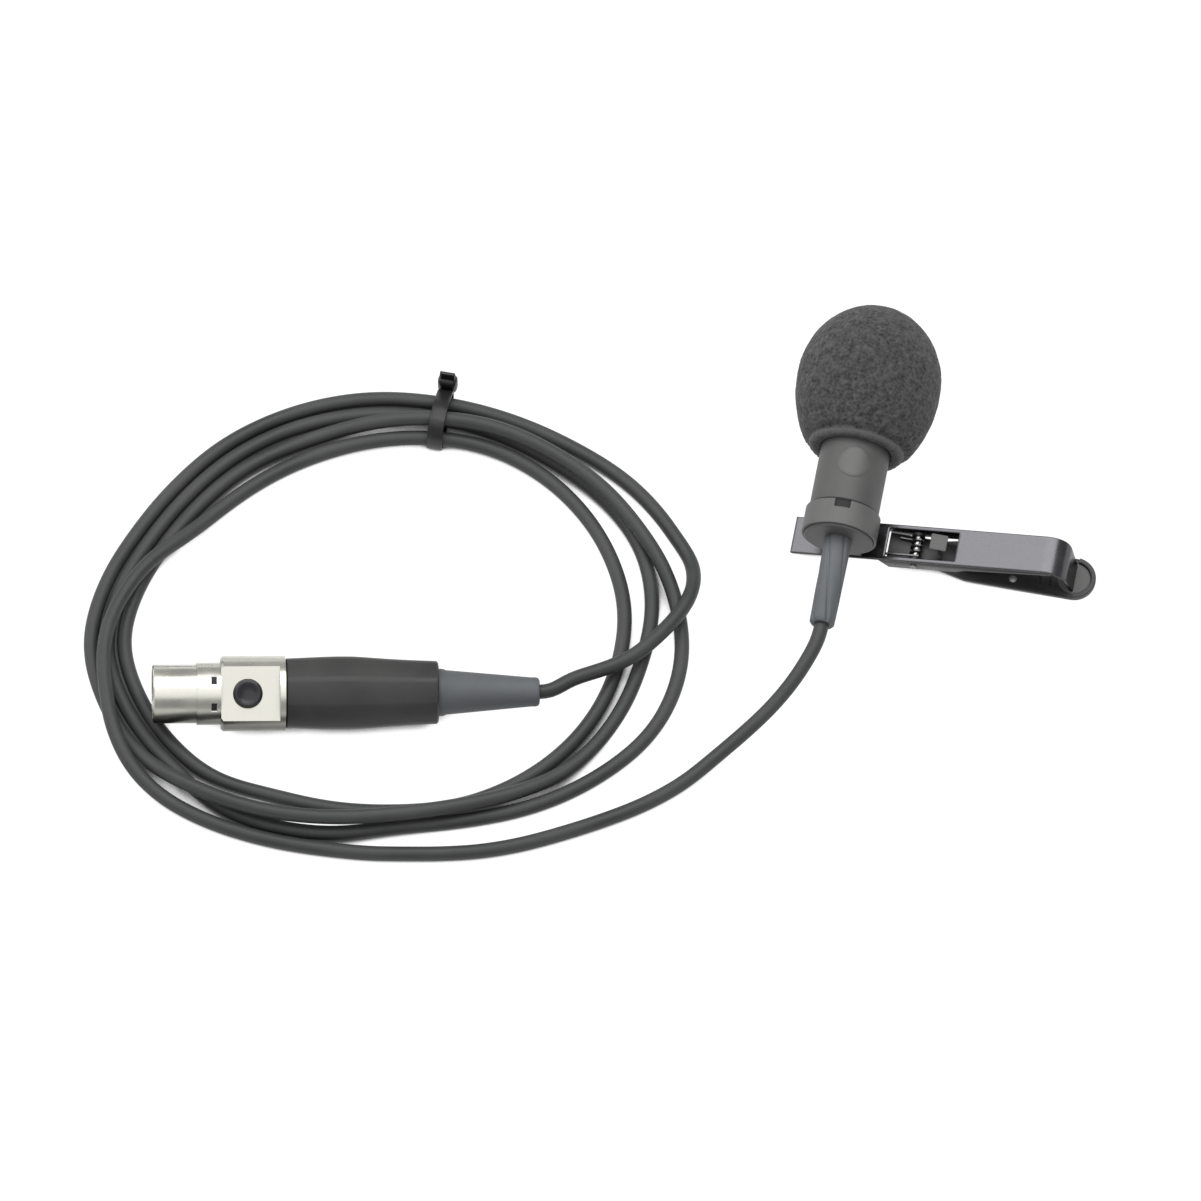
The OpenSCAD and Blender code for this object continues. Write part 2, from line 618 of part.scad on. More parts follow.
module clip_jaw() {
  low = plate_z - sheet_t;
  rim_w = 0.5;
  dimple_back = 8.5;
  color([0.17, 0.17, 0.18]) jaw_frame() difference() {
    union() {
      translate([0, 0, low]) linear_extrude(sheet_t) polygon(jaw_outline());
      translate([jaw_end, 0, 0]) disc(jaw_w / 2, low, plate_z);
      for (s = [-1, 1]) translate([0, s * (ear_y - ear_t / 2), 0]) {
        across(ear_r, ear_t / 2);
        translate([-ear_r, -ear_t / 2, plate_z - 0.1]) cube([2 * ear_r, ear_t, -plate_z + 0.1]);
      }
      intersection() {
        translate([jaw_end, 0, 0]) tube(jaw_w / 2, jaw_w / 2 - rim_w, low, plate_z + 0.5);
        translate([jaw_end + 0.3, -jaw_w, low - 1]) cube([jaw_w, 2 * jaw_w, 4]);
      }
      for (k = [0:2]) translate([jaw_end - 4 + 1.4 * k, -1.9, plate_z - 0.1])
        cube([0.4, 3.8, 0.25]);
      translate([tab_x, -tab_w / 2, plate_z - 0.1]) cube([sheet_t, tab_w, tab_top - plate_z]);
      translate([tab_x - 1.3, -tab_w / 2, tab_top - 0.6]) cube([2.4, tab_w, 0.6]);
    }
    across(pin_hole, arm_w);
    translate([jaw_end - dimple_back, -jaw_w / 4, low - 1]) cylinder(r = 0.6, h = 3);
  }
}

// ---- cable ----

module cord_coil() {
  color([0.17, 0.18, 0.18])
    polyhedron(tube_points(coil_path, cord_r, 6, [0, 0, 1]),
               tube_faces(len(coil_path), 6), convexity = 12);
}

module cord_lead_mic() {
  color([0.17, 0.18, 0.18])
    polyhedron(tube_points(mic_line, cord_r, 8, [0, 0, 1]),
               tube_faces(len(mic_line), 8), convexity = 8);
}

module cord_lead_plug() {
  color([0.17, 0.18, 0.18])
    polyhedron(tube_points(plug_line, cord_r, 8, [0, 0, 1]),
               tube_faces(len(plug_line), 8), convexity = 8);
}

// the tie's band in the plane across the coil: x outwards, y up
module tie_band(grow) {
  low = tie_t + 0.02;
  side = 2.75;
  top = 4.95;
  polygon([[tie_in - grow, low - grow], [tie_out + grow, low - grow],
           [tie_out + grow, side + grow / 2], [1.6 + grow / 2, top + grow],
           [-1.4 - grow / 2, top + grow], [tie_in - grow, side + grow / 2]]);
}

module coil_tie() {
  n = unit([coil_b * cos(tie_angle), coil_a * sin(tie_angle)]);
  out = atan2(n[1], n[0]) + coil_turn;
  color([0.08, 0.08, 0.08]) translate(coil_place(tie_angle, 0, 0)) rotate([0, 0, out])
    rotate([90, 0, 0]) {
      linear_extrude(tie_w, center = true) difference() {
        tie_band(tie_t);
        tie_band(0);
      }
      translate([tie_out + tie_t - 0.05, 1.2, -tie_w / 2 - 0.3]) cube([2, 3, tie_w + 0.6]);
      translate([tie_out + tie_t + 0.6, 4.1, -tie_w / 2]) cube([0.5, 1.5, tie_w]);
    }
}

// ---- plug ----

module plug_shell() {
  color([0.8, 0.79, 0.74]) plug_frame() difference() {
    rotate([0, 90, 0]) rotate_extrude() polygon([
      [nose_in, 0], [nose_r - 0.2, 0], [nose_r, 0.2], [nose_r, nose_len],
      [collar_r, nose_len], [collar_r, collar_end], [shell_r - 0.3, collar_end],
      [shell_r, collar_end + 0.3], [shell_r, sleeve_start], [neck_out, sleeve_start],
      [neck_out, neck_end], [neck_bore, neck_end], [neck_bore, insert_end + 0.4],
      [mid_r, insert_end + 0.4], [mid_r, insert_step], [nose_in, insert_step]]);
    translate([collar_end, -shell_r, flat_z]) cube([flat_len, shell_d, shell_r]);
    translate([button_x, 0, insert_flat + 0.8]) cylinder(r = button_r + 0.1, h = shell_r);
    for (s = [-1, 1]) translate([collar_end - 1.4, s * 2.05 - 0.7, nose_in + 0.1])
      cube([0.8, 1.4, 3]);
  }
}

module plug_insert() {
  color([0.12, 0.12, 0.12]) plug_frame() difference() {
    rotate([0, 90, 0]) {
      disc(nose_in - slip, insert_start, insert_step);
      disc(mid_r - slip, insert_step, insert_end);
    }
    translate([insert_step + 0.5, -mid_r, insert_flat]) cube([flat_len, 2 * mid_r, mid_r]);
    for (c = contact_at) translate([0, c[0], c[1]]) rotate([0, 90, 0])
      cylinder(r = contact_r + slip, h = flat_end);
  }
}

module plug_contacts() {
  color([0.85, 0.68, 0.3]) plug_frame() for (c = contact_at)
    translate([insert_start + 0.2, c[0], c[1]]) rotate([0, 90, 0]) difference() {
      cylinder(r = contact_r, h = contact_end - insert_start);
      translate([0, 0, -1]) cylinder(r = contact_r - 0.17, h = 6.5);
    }
}

module plug_button() {
  color([0.15, 0.15, 0.15]) plug_frame() translate([button_x, 0, 0]) {
    translate([0, 0, plate_top - 0.1]) cylinder(r = button_r, h = button_top - 0.25 - plate_top);
    translate([0, 0, button_top - 0.36]) cylinder(r1 = button_r, r2 = button_r - 0.35, h = 0.36);
    translate([-button_r - 0.5, -1.5, plate_low]) cube([button_d + 1, 3, plate_top - plate_low]);
  }
}

module button_spring() {
  low = insert_flat + 0.02;
  high = plate_low - 0.02;
  t = 0.12;
  color([0.75, 0.75, 0.75]) plug_frame() translate([button_x, 0, 0]) rotate([90, 0, 0])
    linear_extrude(2, center = true) polygon([[-2.2, low], [0, high - t], [2.2, low],
      [2.2, low + t], [0, high], [-2.2, low + t]]);
}

module plug_sleeve() {
  wide = sleeve_start + 9.3;
  root = sleeve_end - 2;
  color([0.2, 0.2, 0.2]) plug_frame() difference() {
    rotate([0, 90, 0]) rotate_extrude() polygon([
      [neck_out + slip, sleeve_start], [shell_r - 0.25, sleeve_start],
      [shell_r - 0.05, sleeve_start + 0.3], [sleeve_bulge, sleeve_start + 5], [shell_r - 0.05, wide],
      [heel_r, sleeve_end - 1], [sleeve_tip_r - 0.3, sleeve_end],
      [tail_r + slip, sleeve_end], [tail_r + slip, root], [sleeve_bore, root],
      [sleeve_bore, neck_end], [neck_out + slip, neck_end]]);
    translate([sleeve_start + 1.5, -shell_r, shell_r - 0.4]) cube([sleeve_len - 4, shell_d, 3]);
    for (x = [-0.7, 0, 0.7]) translate([sleeve_start + 5 + x, 0, shell_r - 0.7])
      cylinder(r = 0.7, h = 3);
  }
}

module plug_clamp() {
  color([0.7, 0.7, 0.68]) plug_axis() rotate_extrude() polygon([
    [cord_r + slip, clamp_x], [neck_bore - slip, clamp_x], [neck_bore - slip, clamp_x + 0.8],
    [clamp_r, clamp_x + 0.8], [clamp_r, clamp_x + clamp_len],
    [cord_r + slip, clamp_x + clamp_len]]);
}

module plug_strain_relief() {
  root = sleeve_end - 2 - root_len;
  color([0.36, 0.38, 0.41]) plug_axis() rotate_extrude() polygon([
    [cord_r + slip, root], [sleeve_bore - slip, root], [sleeve_bore - slip, root + root_len],
    [tail_r, root + root_len], [tail_r, sleeve_end + 0.6], [tail_tip_r + 0.1, plug_len - 1],
    [tail_tip_r, plug_len], [cord_r + slip, plug_len]]);
}

module plug_cable_end() {
  color([0.15, 0.15, 0.15]) plug_axis() disc(cord_r, cable_in, plug_len);
}

module plug_wires() {
  colours = [[0.75, 0.15, 0.12], [0.85, 0.85, 0.8], [0.8, 0.65, 0.1]];
  for (k = [0:2]) color(colours[k]) plug_frame()
    rod([contact_end + 0.26, contact_at[k][0], contact_at[k][1]],
        [cable_in - 0.06, 0.3 * contact_at[k][0], 0.3 * contact_at[k][1]], 0.25);
}

windscreen();
head_grille();
grille_cloth();
capsule_housing();
badge();
capsule_gasket();
capsule_can();
diaphragm();
capsule_spacer();
backplate();
capsule_holder();
capsule_board();
rear_cap();
mic_strain_relief();
cable_crimp();
mic_cable_end();
mic_wires();
holder_ring();
ring_rivet();
clip_arm();
clip_pin();
clip_spring();
clip_jaw();
cord_lead_mic();
cord_coil();
cord_lead_plug();
coil_tie();
plug_shell();
plug_insert();
plug_contacts();
plug_button();
button_spring();
plug_sleeve();
plug_clamp();
plug_strain_relief();
plug_cable_end();
plug_wires();
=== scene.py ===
"""A clip-on microphone with a foam windscreen, its cable wound into a coil beside it.

Sizes are millimetres and become metres where a mesh is made. Pieces are made in the frame of the
microphone, its clip, the clip's jaw or the plug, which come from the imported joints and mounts.
"""

import json
import math

import bmesh
import bpy
from mathutils import Matrix, Vector, noise


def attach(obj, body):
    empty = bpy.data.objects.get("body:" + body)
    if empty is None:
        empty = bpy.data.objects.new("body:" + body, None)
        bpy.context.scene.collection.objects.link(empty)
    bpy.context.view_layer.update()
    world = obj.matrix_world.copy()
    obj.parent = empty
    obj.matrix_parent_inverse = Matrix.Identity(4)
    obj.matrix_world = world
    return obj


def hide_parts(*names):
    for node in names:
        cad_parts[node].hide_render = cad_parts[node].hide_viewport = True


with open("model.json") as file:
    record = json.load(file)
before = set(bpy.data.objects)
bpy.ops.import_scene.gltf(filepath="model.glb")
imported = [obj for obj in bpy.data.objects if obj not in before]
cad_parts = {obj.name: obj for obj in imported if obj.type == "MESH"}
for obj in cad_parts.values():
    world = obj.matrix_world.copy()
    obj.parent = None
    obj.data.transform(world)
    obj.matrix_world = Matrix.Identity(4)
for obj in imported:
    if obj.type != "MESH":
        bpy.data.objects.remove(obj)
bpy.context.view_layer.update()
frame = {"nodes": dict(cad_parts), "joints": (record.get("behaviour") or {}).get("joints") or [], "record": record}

MM = 0.001

# ---- frames of the microphone, clip, jaw and plug ----

# the jaw's pin in the clip's frame, the jaw's slope at rest, and the nose's mount from its tip
PIN = (9.5, 0.7, -7.15)
JAW_DROP = 13.0
NOSE_MOUNT = 3.2


def joint(name):
    """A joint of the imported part."""
    return next(j for j in frame["joints"] if j["name"] == name)


def mount(name):
    """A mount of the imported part."""
    return next(m for m in frame["record"]["mounts"] if m["name"] == name)


def axes(origin, x, y, z):
    """A frame from its origin, in metres, and its three directions."""
    turn = Matrix((x, y, z)).transposed().to_4x4()
    return Matrix.Translation(origin) @ turn


mic_way = -Vector(joint("mic_turn")["axis"]).normalized()
across = Vector((1, 0, 0))
MIC = axes(Vector(joint("mic_turn")["pos_m"]), across, mic_way, across.cross(mic_way))

pin_seen = MIC.inverted() @ Vector(joint("jaw_open")["pos_m"])
clip_roll = math.atan2(pin_seen.z, pin_seen.x) - math.atan2(PIN[2], PIN[0])
CLIP = MIC @ Matrix.Rotation(-clip_roll, 4, "Y")
JAW = CLIP @ Matrix.Translation(Vector(PIN) * MM) @ Matrix.Rotation(math.radians(JAW_DROP), 4, "Y")

plug_way = -Vector(mount("plug_nose")["axis"]).normalized()
plug_up = -Vector(joint("latch_press")["axis"]).normalized()
PLUG = axes(Vector(mount("plug_nose")["pos_m"]), plug_way, plug_up.cross(plug_way), plug_up)
PLUG = PLUG @ Matrix.Translation((-NOSE_MOUNT * MM, 0, 0))

# turned pieces are made round +Z: these lay that axis along the microphone and the plug
MIC_AXIS = MIC @ Matrix.Rotation(math.radians(-90), 4, "X")
PLUG_AXIS = PLUG @ Matrix.Rotation(math.radians(90), 4, "Y")

# ---- camera ----

VIEW_TURN = math.radians(10.5)
VIEW_TILT = math.radians(60.0)
LENS = 600.0
SENSOR = 36.0
CLIP_NEAR = 0.01
CLIP_FAR = 20
# width that is shown, the point aimed at, and where that point lies from the middle
FRAME_WIDTH = 170.35
AIM = (-13.2, -9.0, 0.0)
AIM_FROM_MIDDLE = (33.97, 6.667)


def set_camera():
    """A long lens that looks down on the part, with the clip's ring right of the middle."""
    data = bpy.data.cameras.new("studio_camera")
    data.lens = LENS
    data.sensor_width = SENSOR
    data.clip_start = CLIP_NEAR
    data.clip_end = CLIP_FAR
    camera = bpy.data.objects.new("studio_camera", data)
    bpy.context.scene.collection.objects.link(camera)
    right = Vector((math.cos(VIEW_TURN), math.sin(VIEW_TURN), 0))
    back = Vector((math.sin(VIEW_TURN) * math.cos(VIEW_TILT),
                   -math.cos(VIEW_TURN) * math.cos(VIEW_TILT), math.sin(VIEW_TILT)))
    up = back.cross(right)
    middle = (Vector(AIM) - right * AIM_FROM_MIDDLE[0] - up * AIM_FROM_MIDDLE[1]) * MM
    camera.matrix_world = axes(middle + back * (FRAME_WIDTH * MM * LENS / SENSOR), right, up, back)
    bpy.context.scene.camera = camera


set_camera()

# ---- cable route ----

CORD_D = 2.1
CORD_R = CORD_D / 2
FIT = 0.02
TIE_T = 0.4
TIE_ROOM = 0.05
TIE_ANGLE = 73
TIE_SPREAD = 40
COIL_AT = (-75, -33)
COIL_TURN = math.radians(15)
COIL_A = 36.5
COIL_B = 33
COIL_FROM = 15
COIL_TO = 1350
COIL_STEP = 5

# coil stations: angle, distance outwards from the ellipse, lift off the ground
LANES = [
    (15, 8, 0), (30, 6.6, 0), (45, 4.95, 0), (60, 4.1, 0), (75, 3.85, 0), (90, 4, 0),
    (105, 3.7, 0), (120, 3.05, 0), (135, 2.15, 0), (150, 2.1, 0), (165, 3.3, 0), (180, 4.6, 0),
    (195, 4.5, 0), (205, 4.4, 0), (211, 4.2, 0.6), (216, 4, 1.5), (221, 3.65, 2.35),
    (227, 3, 2.6), (240, 1.6, 2.6), (255, 0.1, 2.6), (270, -0.9, 2.5), (285, -0.6, 2.3),
    (300, 0.5, 1.5), (308, 0.95, 0.6), (317, 1.1, 0), (330, 1.1, 0), (345, 1.2, 0),
    (360, 2.15, 0), (375, 2.7, 0), (390, 2.25, 0), (405, 1.6, 0), (420, 1.4, 0), (435, 1.3, 0),
    (450, 1.45, 0), (465, 1.35, 0), (480, 0.7, 0), (495, -0.1, 0), (510, -0.15, 0), (525, 1, 0),
    (540, 2.3, 0), (555, 2.15, 0), (568, 1.85, 0), (578, 1.95, 0), (588, 2.6, 0),
    (600, 2.35, 0), (615, 1.3, 0), (630, -0.1, 0), (645, 0.7, 0), (660, 2.7, 0), (675, 4.75, 0),
    (690, 6.6, 0), (705, 6.8, 0), (719, 5.7, 0.1), (728, 4.6, 1.5), (737, 3.3, 2.5),
    (743, 2.8, 2.6), (750, 2.4, 2.6), (765, 1.55, 2.6), (780, 1, 2.5), (795, 0, 2.2),
    (808, -0.7, 1.45), (820, -1.15, 0.35), (830, -1.45, 0), (840, -1.75, 0), (855, -2.4, 0),
    (870, -2.4, 0), (885, -1.35, 0), (900, -0.1, 0), (915, -0.3, 0), (930, -0.45, 0),
    (945, -0.7, 0), (960, -2.4, 0), (975, -2.75, 0), (990, -2.6, 0), (1005, -1.85, 0),
    (1020, -1.6, 0), (1035, -1.6, 0), (1050, -1.8, 0), (1065, -1.95, 0), (1080, -1.8, 0),
    (1095, -1.8, 0), (1110, -1.55, 0), (1125, -1.2, 0), (1140, -1.2, 0), (1155, -2.05, 0),
    (1170, -3.05, 0), (1185, -4, 0), (1200, -4.75, 0), (1209, -4.95, 0), (1218, -4.9, 0.4),
    (1227, -4.4, 1.65), (1237, -2.3, 2.6), (1245, -0.6, 2.6), (1260, 2.4, 2.6),
    (1275, 4.3, 2.6), (1281, 5.45, 2.6), (1287, 6.25, 1.85), (1292, 6.6, 0.9), (1299, 6.4, 0.1),
    (1308, 5.7, 0), (1320, 4.65, 0), (1335, 3.85, 0), (1350, 4.2, 0)]

# free runs, from the microphone's strain relief and from the plug's
MIC_RUN = [
    (-13.8, -28.8, 5.6), (-15.05, -32.1, 4.8), (-16.95, -35.7, 3.8), (-19.7, -39.7, 2.7),
    (-23.9, -45, 1.6), (-28.4, -50.6, 1.1), (-33.4, -55.1, 1.05), (-38.7, -58.7, 1.05),
    (-43.8, -61.7, 1.05), (-49, -64.4, 1.05), (-54.4, -66.5, 1.05), (-59.4, -67.8, 1.05)]
PLUG_RUN = [
    (-47.2, -38.95, 4.2), (-43.9, -36.9, 4.05), (-40.9, -35, 3.95), (-38.3, -32.8, 3.95),
    (-36.1, -29.7, 3.9), (-34.2, -26.5, 3.8), (-32.9, -23.4, 3.6), (-32.4, -20.6, 3.1),
    (-32.6, -17.8, 2.1)]
BOOT_END = 15.5
PLUG_LENGTH = 54.6
RUN_STEPS = 6
EASE_STEP = 1.0
EASE_PASSES = 5


def lane(angle, column):
    """Smooth value of a station column at an angle along the coil."""
    i = max(k for k in range(len(LANES) - 1) if LANES[k][0] <= angle)

    def slope(k):
        a, b = LANES[max(k - 1, 0)], LANES[min(k + 1, len(LANES) - 1)]
        return (b[column] - a[column]) / (b[0] - a[0])

    width = LANES[i + 1][0] - LANES[i][0]
    u = (angle - LANES[i][0]) / width
    return ((2 * u**3 - 3 * u**2 + 1) * LANES[i][column]
            + (u**3 - 2 * u**2 + u) * width * slope(i)
            + (3 * u**2 - 2 * u**3) * LANES[i + 1][column]
            + (u**3 - u**2) * width * slope(i + 1))


def coil_point(angle):
    """Middle of the cable at an angle along the coil, lifted where the tie passes under it."""
    t = math.radians(angle)
    away = abs(angle % 360 - TIE_ANGLE)
    hump = 0
    if away < TIE_SPREAD:
        hump = (TIE_T + TIE_ROOM) * math.cos(math.pi / 2 * away / TIE_SPREAD) ** 2
    out = Vector((COIL_B * math.cos(t), COIL_A * math.sin(t), 0)).normalized() * lane(angle, 1)
    flat = Vector((COIL_A * math.cos(t), COIL_B * math.sin(t), 0)) + out
    flat.rotate(Matrix.Rotation(COIL_TURN, 3, "Z"))
    return flat + Vector((COIL_AT[0], COIL_AT[1], CORD_R + max(lane(angle, 2), 0) + hump))


def through(points, steps):
    """A smooth line through points, never lower than the cable lies on the ground."""
    line = []
    for i in range(len(points) - 1):
        a, b = points[max(i - 1, 0)], points[i]
        c, d = points[i + 1], points[min(i + 2, len(points) - 1)]
        for k in range(steps):
            u = k / steps
            p = 0.5 * (2 * b + (c - a) * u + (2 * a - 5 * b + 4 * c - d) * u**2
                       + (3 * b - a - 3 * c + d) * u**3)
            line.append(Vector((p.x, p.y, max(p.z, CORD_R))))
    return line


def cable_route():
    """The whole cable, from the microphone's strain relief to the plug's, in millimetres."""
    turns = [coil_point(a) for a in range(COIL_FROM, COIL_TO + 1, COIL_STEP)]
    start_way = (turns[1] - turns[0]).normalized()
    end_way = (turns[-1] - turns[-2]).normalized()
    boot = MIC @ Vector((0, -BOOT_END * MM, 0)) / MM
    plug = PLUG @ Vector((PLUG_LENGTH * MM, 0, 0)) / MM
    mic_side = through([boot, boot - mic_way * CORD_D] + [Vector(p) for p in MIC_RUN]
                       + [turns[-1] + end_way * 2 * CORD_D], RUN_STEPS)
    plug_side = through([turns[0] - start_way * 2 * CORD_D]
                        + [Vector(p) for p in reversed(PLUG_RUN)]
                        + [plug + plug_way * CORD_D, plug], RUN_STEPS)
    return ease(mic_side + turns[::-1] + plug_side + [plug])


def ease(line):
    """Even steps along a line, its corners rounded, both ends kept."""
    even, left = [line[0]], EASE_STEP
    for a, b in zip(line, line[1:]):
        gap = (b - a).length
        done = 0.0
        while gap - done > left:
            done += left
            even.append(a + (b - a) * (done / gap))
            left = EASE_STEP
        left -= gap - done
    if (even[-1] - line[-1]).length < 0.4 * EASE_STEP:
        even.pop()
    even.append(line[-1])
    for _ in range(EASE_PASSES):
        inner = [(a + 2 * b + c) / 4 for a, b, c in zip(even, even[1:], even[2:])]
        even = [even[0]] + [Vector((p.x, p.y, max(p.z, CORD_R))) for p in inner] + [even[-1]]
    return even


def make_cable():
    """One round tube along the route, its radius held by the points; also its points and length."""
    points = cable_route()
    data = bpy.data.curves.new("cable", "CURVE")
    data.dimensions = "3D"
    data.bevel_depth = 1.0
    data.bevel_resolution = 4
    data.use_fill_caps = True
    spline = data.splines.new("POLY")
    spline.points.add(len(points) - 1)
    for knot, p in zip(spline.points, points):
        knot.co = (*(p * MM), 1)
        knot.radius = CORD_R * MM
    spline.use_smooth = True
    cable = bpy.data.objects.new("cable", data)
    bpy.context.scene.collection.objects.link(cable)
    length = sum((b - a).length for a, b in zip(points, points[1:])) * MM
    return cable, points, length


cable, cable_line, cable_length = make_cable()
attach(cable, "microphone")
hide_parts("cord_lead_mic", "cord_coil", "cord_lead_plug")
print("cable length", round(cable_length, 4))

# ---- materials ----

# noise lies mostly between these two, and painted shade darkens a finish between these two slopes
NOISE_RANGE = (0.3, 0.7)
SLOPE_RANGE = (-0.1, 0.9)
METAL_GRAIN = 0.002

def finish(name, colour, rough, metal=0.0):
    """A plain shader with its nodes and links, to build a finish on."""
    material = bpy.data.materials.new(name)
    material.use_nodes = True
    nodes, links = material.node_tree.nodes, material.node_tree.links
    shader = nodes["Principled BSDF"]
    shader.inputs["Base Color"].default_value = (*colour, 1)
    shader.inputs["Roughness"].default_value = rough
    shader.inputs["Metallic"].default_value = metal
    return material, nodes, links, shader


def grain(nodes, links, scale, detail=4.0, kind="ShaderNodeTexNoise"):
    """Noise on the piece's own coordinates; scale is features per millimetre."""
    place = nodes.new("ShaderNodeTexCoord")
    texture = nodes.new(kind)
    texture.inputs["Scale"].default_value = scale / MM
    if kind == "ShaderNodeTexNoise":
        texture.inputs["Detail"].default_value = detail
    links.new(place.outputs["Object"], texture.inputs["Vector"])
    return texture


def shade_between(nodes, links, factor, low, high, socket, span=NOISE_RANGE):
    """Drive a colour socket from dark to light by a factor."""
    ramp = nodes.new("ShaderNodeValToRGB")
    for stop, position, colour in zip(ramp.color_ramp.elements, span, (low, high)):
        stop.position = position
        stop.color = (*colour, 1)
    links.new(factor, ramp.inputs["Fac"])
    links.new(ramp.outputs["Color"], socket)


def range_to(nodes, links, factor, low, high, socket, span=NOISE_RANGE):
    """Drive a number socket between two values by a factor."""
    ranged = nodes.new("ShaderNodeMapRange")
    for name, value in zip(("From Min", "From Max", "To Min", "To Max"), (*span, low, high)):
        ranged.inputs[name].default_value = value
    links.new(factor, ranged.inputs["Value"])
    links.new(ranged.outputs["Result"], socket)


def relief(nodes, links, height, depth, shader):
    """Bump of a depth in millimetres."""
    bump = nodes.new("ShaderNodeBump")
    bump.inputs["Strength"].default_value = 1.0
    bump.inputs["Distance"].default_value = depth * MM
    links.new(height, bump.inputs["Height"])
    links.new(bump.outputs["Normal"], shader.inputs["Normal"])


def paint_side_shade(nodes, links, shader, shaded_share):
    """Painted shade: darken a finish step by step from where it faces up to where it faces sideways or down."""
    facing = nodes.new("ShaderNodeNewGeometry")
    split = nodes.new("ShaderNodeSeparateXYZ")
    links.new(facing.outputs["Normal"], split.inputs["Vector"])
    dim = nodes.new("ShaderNodeVectorMath")
    dim.operation = "SCALE"
    range_to(nodes, links, split.outputs["Z"], shaded_share, 1.0, dim.inputs["Scale"], SLOPE_RANGE)
    colour = shader.inputs["Base Color"].links[0].from_socket
    links.new(colour, dim.inputs[0])
    links.new(dim.outputs["Vector"], shader.inputs["Base Color"])


def foam_finish(dark, light, rim_tone):
    """Open-celled foam: fine uneven cells, painted shade where it faces sideways or down, and a paler skin on the
    moulded rim.
    """
    material, nodes, links, shader = finish("black_foam", (0.04, 0.04, 0.042), 0.95)
    shader.inputs["Specular IOR Level"].default_value = 0.2
    shader.inputs["Sheen Weight"].default_value = 0.12
    shader.inputs["Sheen Roughness"].default_value = 0.6
    cells = grain(nodes, links, 2.3, kind="ShaderNodeTexVoronoi")
    patches = grain(nodes, links, 1.1, 5.0)
    mixed = nodes.new("ShaderNodeMath")
    mixed.operation = "MULTIPLY_ADD"
    mixed.inputs[1].default_value = 0.4
    links.new(cells.outputs["Distance"], mixed.inputs[0])
    links.new(patches.outputs["Fac"], mixed.inputs[2])
    shade_between(nodes, links, mixed.outputs["Value"], dark, light, shader.inputs["Base Color"],
                  (0.45, 0.95))
    # painted shade on the sides and underside of the ball
    paint_side_shade(nodes, links, shader, 0.75)
    rim = nodes.new("ShaderNodeAttribute")
    rim.attribute_name = "rim"
    blend = nodes.new("ShaderNodeMix")
    blend.data_type = "RGBA"
    away, on_rim = [s for s in blend.inputs if s.type == "RGBA"]
    blended = next(s for s in blend.outputs if s.type == "RGBA")
    on_rim.default_value = (*rim_tone, 1)
    links.new(rim.outputs["Fac"], blend.inputs["Factor"])
    links.new(shader.inputs["Base Color"].links[0].from_socket, away)
    links.new(blended, shader.inputs["Base Color"])
    relief(nodes, links, cells.outputs["Distance"], 0.08, shader)
    return material


def painted_finish(name, dark, light, rough, scale=6.0, depth=0.006):
    """Satin paint over metal or moulded plastic with a fine orange-peel grain, and painted shade where it faces
    sideways or down.
    """
    material, nodes, links, shader = finish(name, light, rough)
    fine = grain(nodes, links, scale)
    broad = grain(nodes, links, 0.12)
    shade_between(nodes, links, broad.outputs["Fac"], dark, light, shader.inputs["Base Color"])
    range_to(nodes, links, broad.outputs["Fac"], rough - 0.06, rough + 0.08,
             shader.inputs["Roughness"])
    # painted shade on sides and undersides
    paint_side_shade(nodes, links, shader, 0.55)
    relief(nodes, links, fine.outputs["Fac"], depth, shader)
    return material


def metal_finish(name, dark, light, rough, scale=0.5, side=0.35):
    """Bare or plated metal with faint wear in its polish, and painted shade where it faces sideways or down, down
    to the share side.
    """
    material, nodes, links, shader = finish(name, light, rough, 1.0)
    wear = grain(nodes, links, scale)
    fine = grain(nodes, links, 8.0)
    shade_between(nodes, links, wear.outputs["Fac"], dark, light, shader.inputs["Base Color"])
    range_to(nodes, links, wear.outputs["Fac"], rough * 0.8, rough * 1.3,
             shader.inputs["Roughness"])
    # painted shade on sides and undersides, standing in for dark reflections
    paint_side_shade(nodes, links, shader, side)
    relief(nodes, links, fine.outputs["Fac"], METAL_GRAIN, shader)
    return material


def cable_finish():
    """Soft black jacket, paler in broad patches, with painted shade where it faces sideways or down."""
    material, nodes, links, shader = finish("cable_jacket", (0.06, 0.06, 0.06), 0.55)
    shader.inputs["Specular IOR Level"].default_value = 0.4
    broad = grain(nodes, links, 0.08)
    fine = grain(nodes, links, 5.0)
    shade_between(nodes, links, broad.outputs["Fac"], (0.045, 0.047, 0.047), (0.075, 0.077, 0.076),
                  shader.inputs["Base Color"])
    range_to(nodes, links, broad.outputs["Fac"], 0.45, 0.62, shader.inputs["Roughness"])
    # painted shade on the cable's sides and underside
    paint_side_shade(nodes, links, shader, 0.5)
    relief(nodes, links, fine.outputs["Fac"], 0.008, shader)
    return material


FOAM = foam_finish((0.028, 0.028, 0.029), (0.1, 0.1, 0.103), (0.11, 0.11, 0.11))
CABLE = cable_finish()
HOUSING = painted_finish("housing_black", (0.085, 0.085, 0.084), (0.11, 0.11, 0.108), 0.5)
RING = painted_finish("ring_black", (0.115, 0.115, 0.113), (0.15, 0.15, 0.147), 0.5)
DISC = painted_finish("disc_satin", (0.1, 0.1, 0.098), (0.13, 0.13, 0.127), 0.4)
JAW_BLACK = painted_finish("jaw_black", (0.02, 0.02, 0.02), (0.035, 0.035, 0.035), 0.42)
PAD_GREY = painted_finish("pad_grey", (0.09, 0.09, 0.088), (0.14, 0.14, 0.137), 0.5)
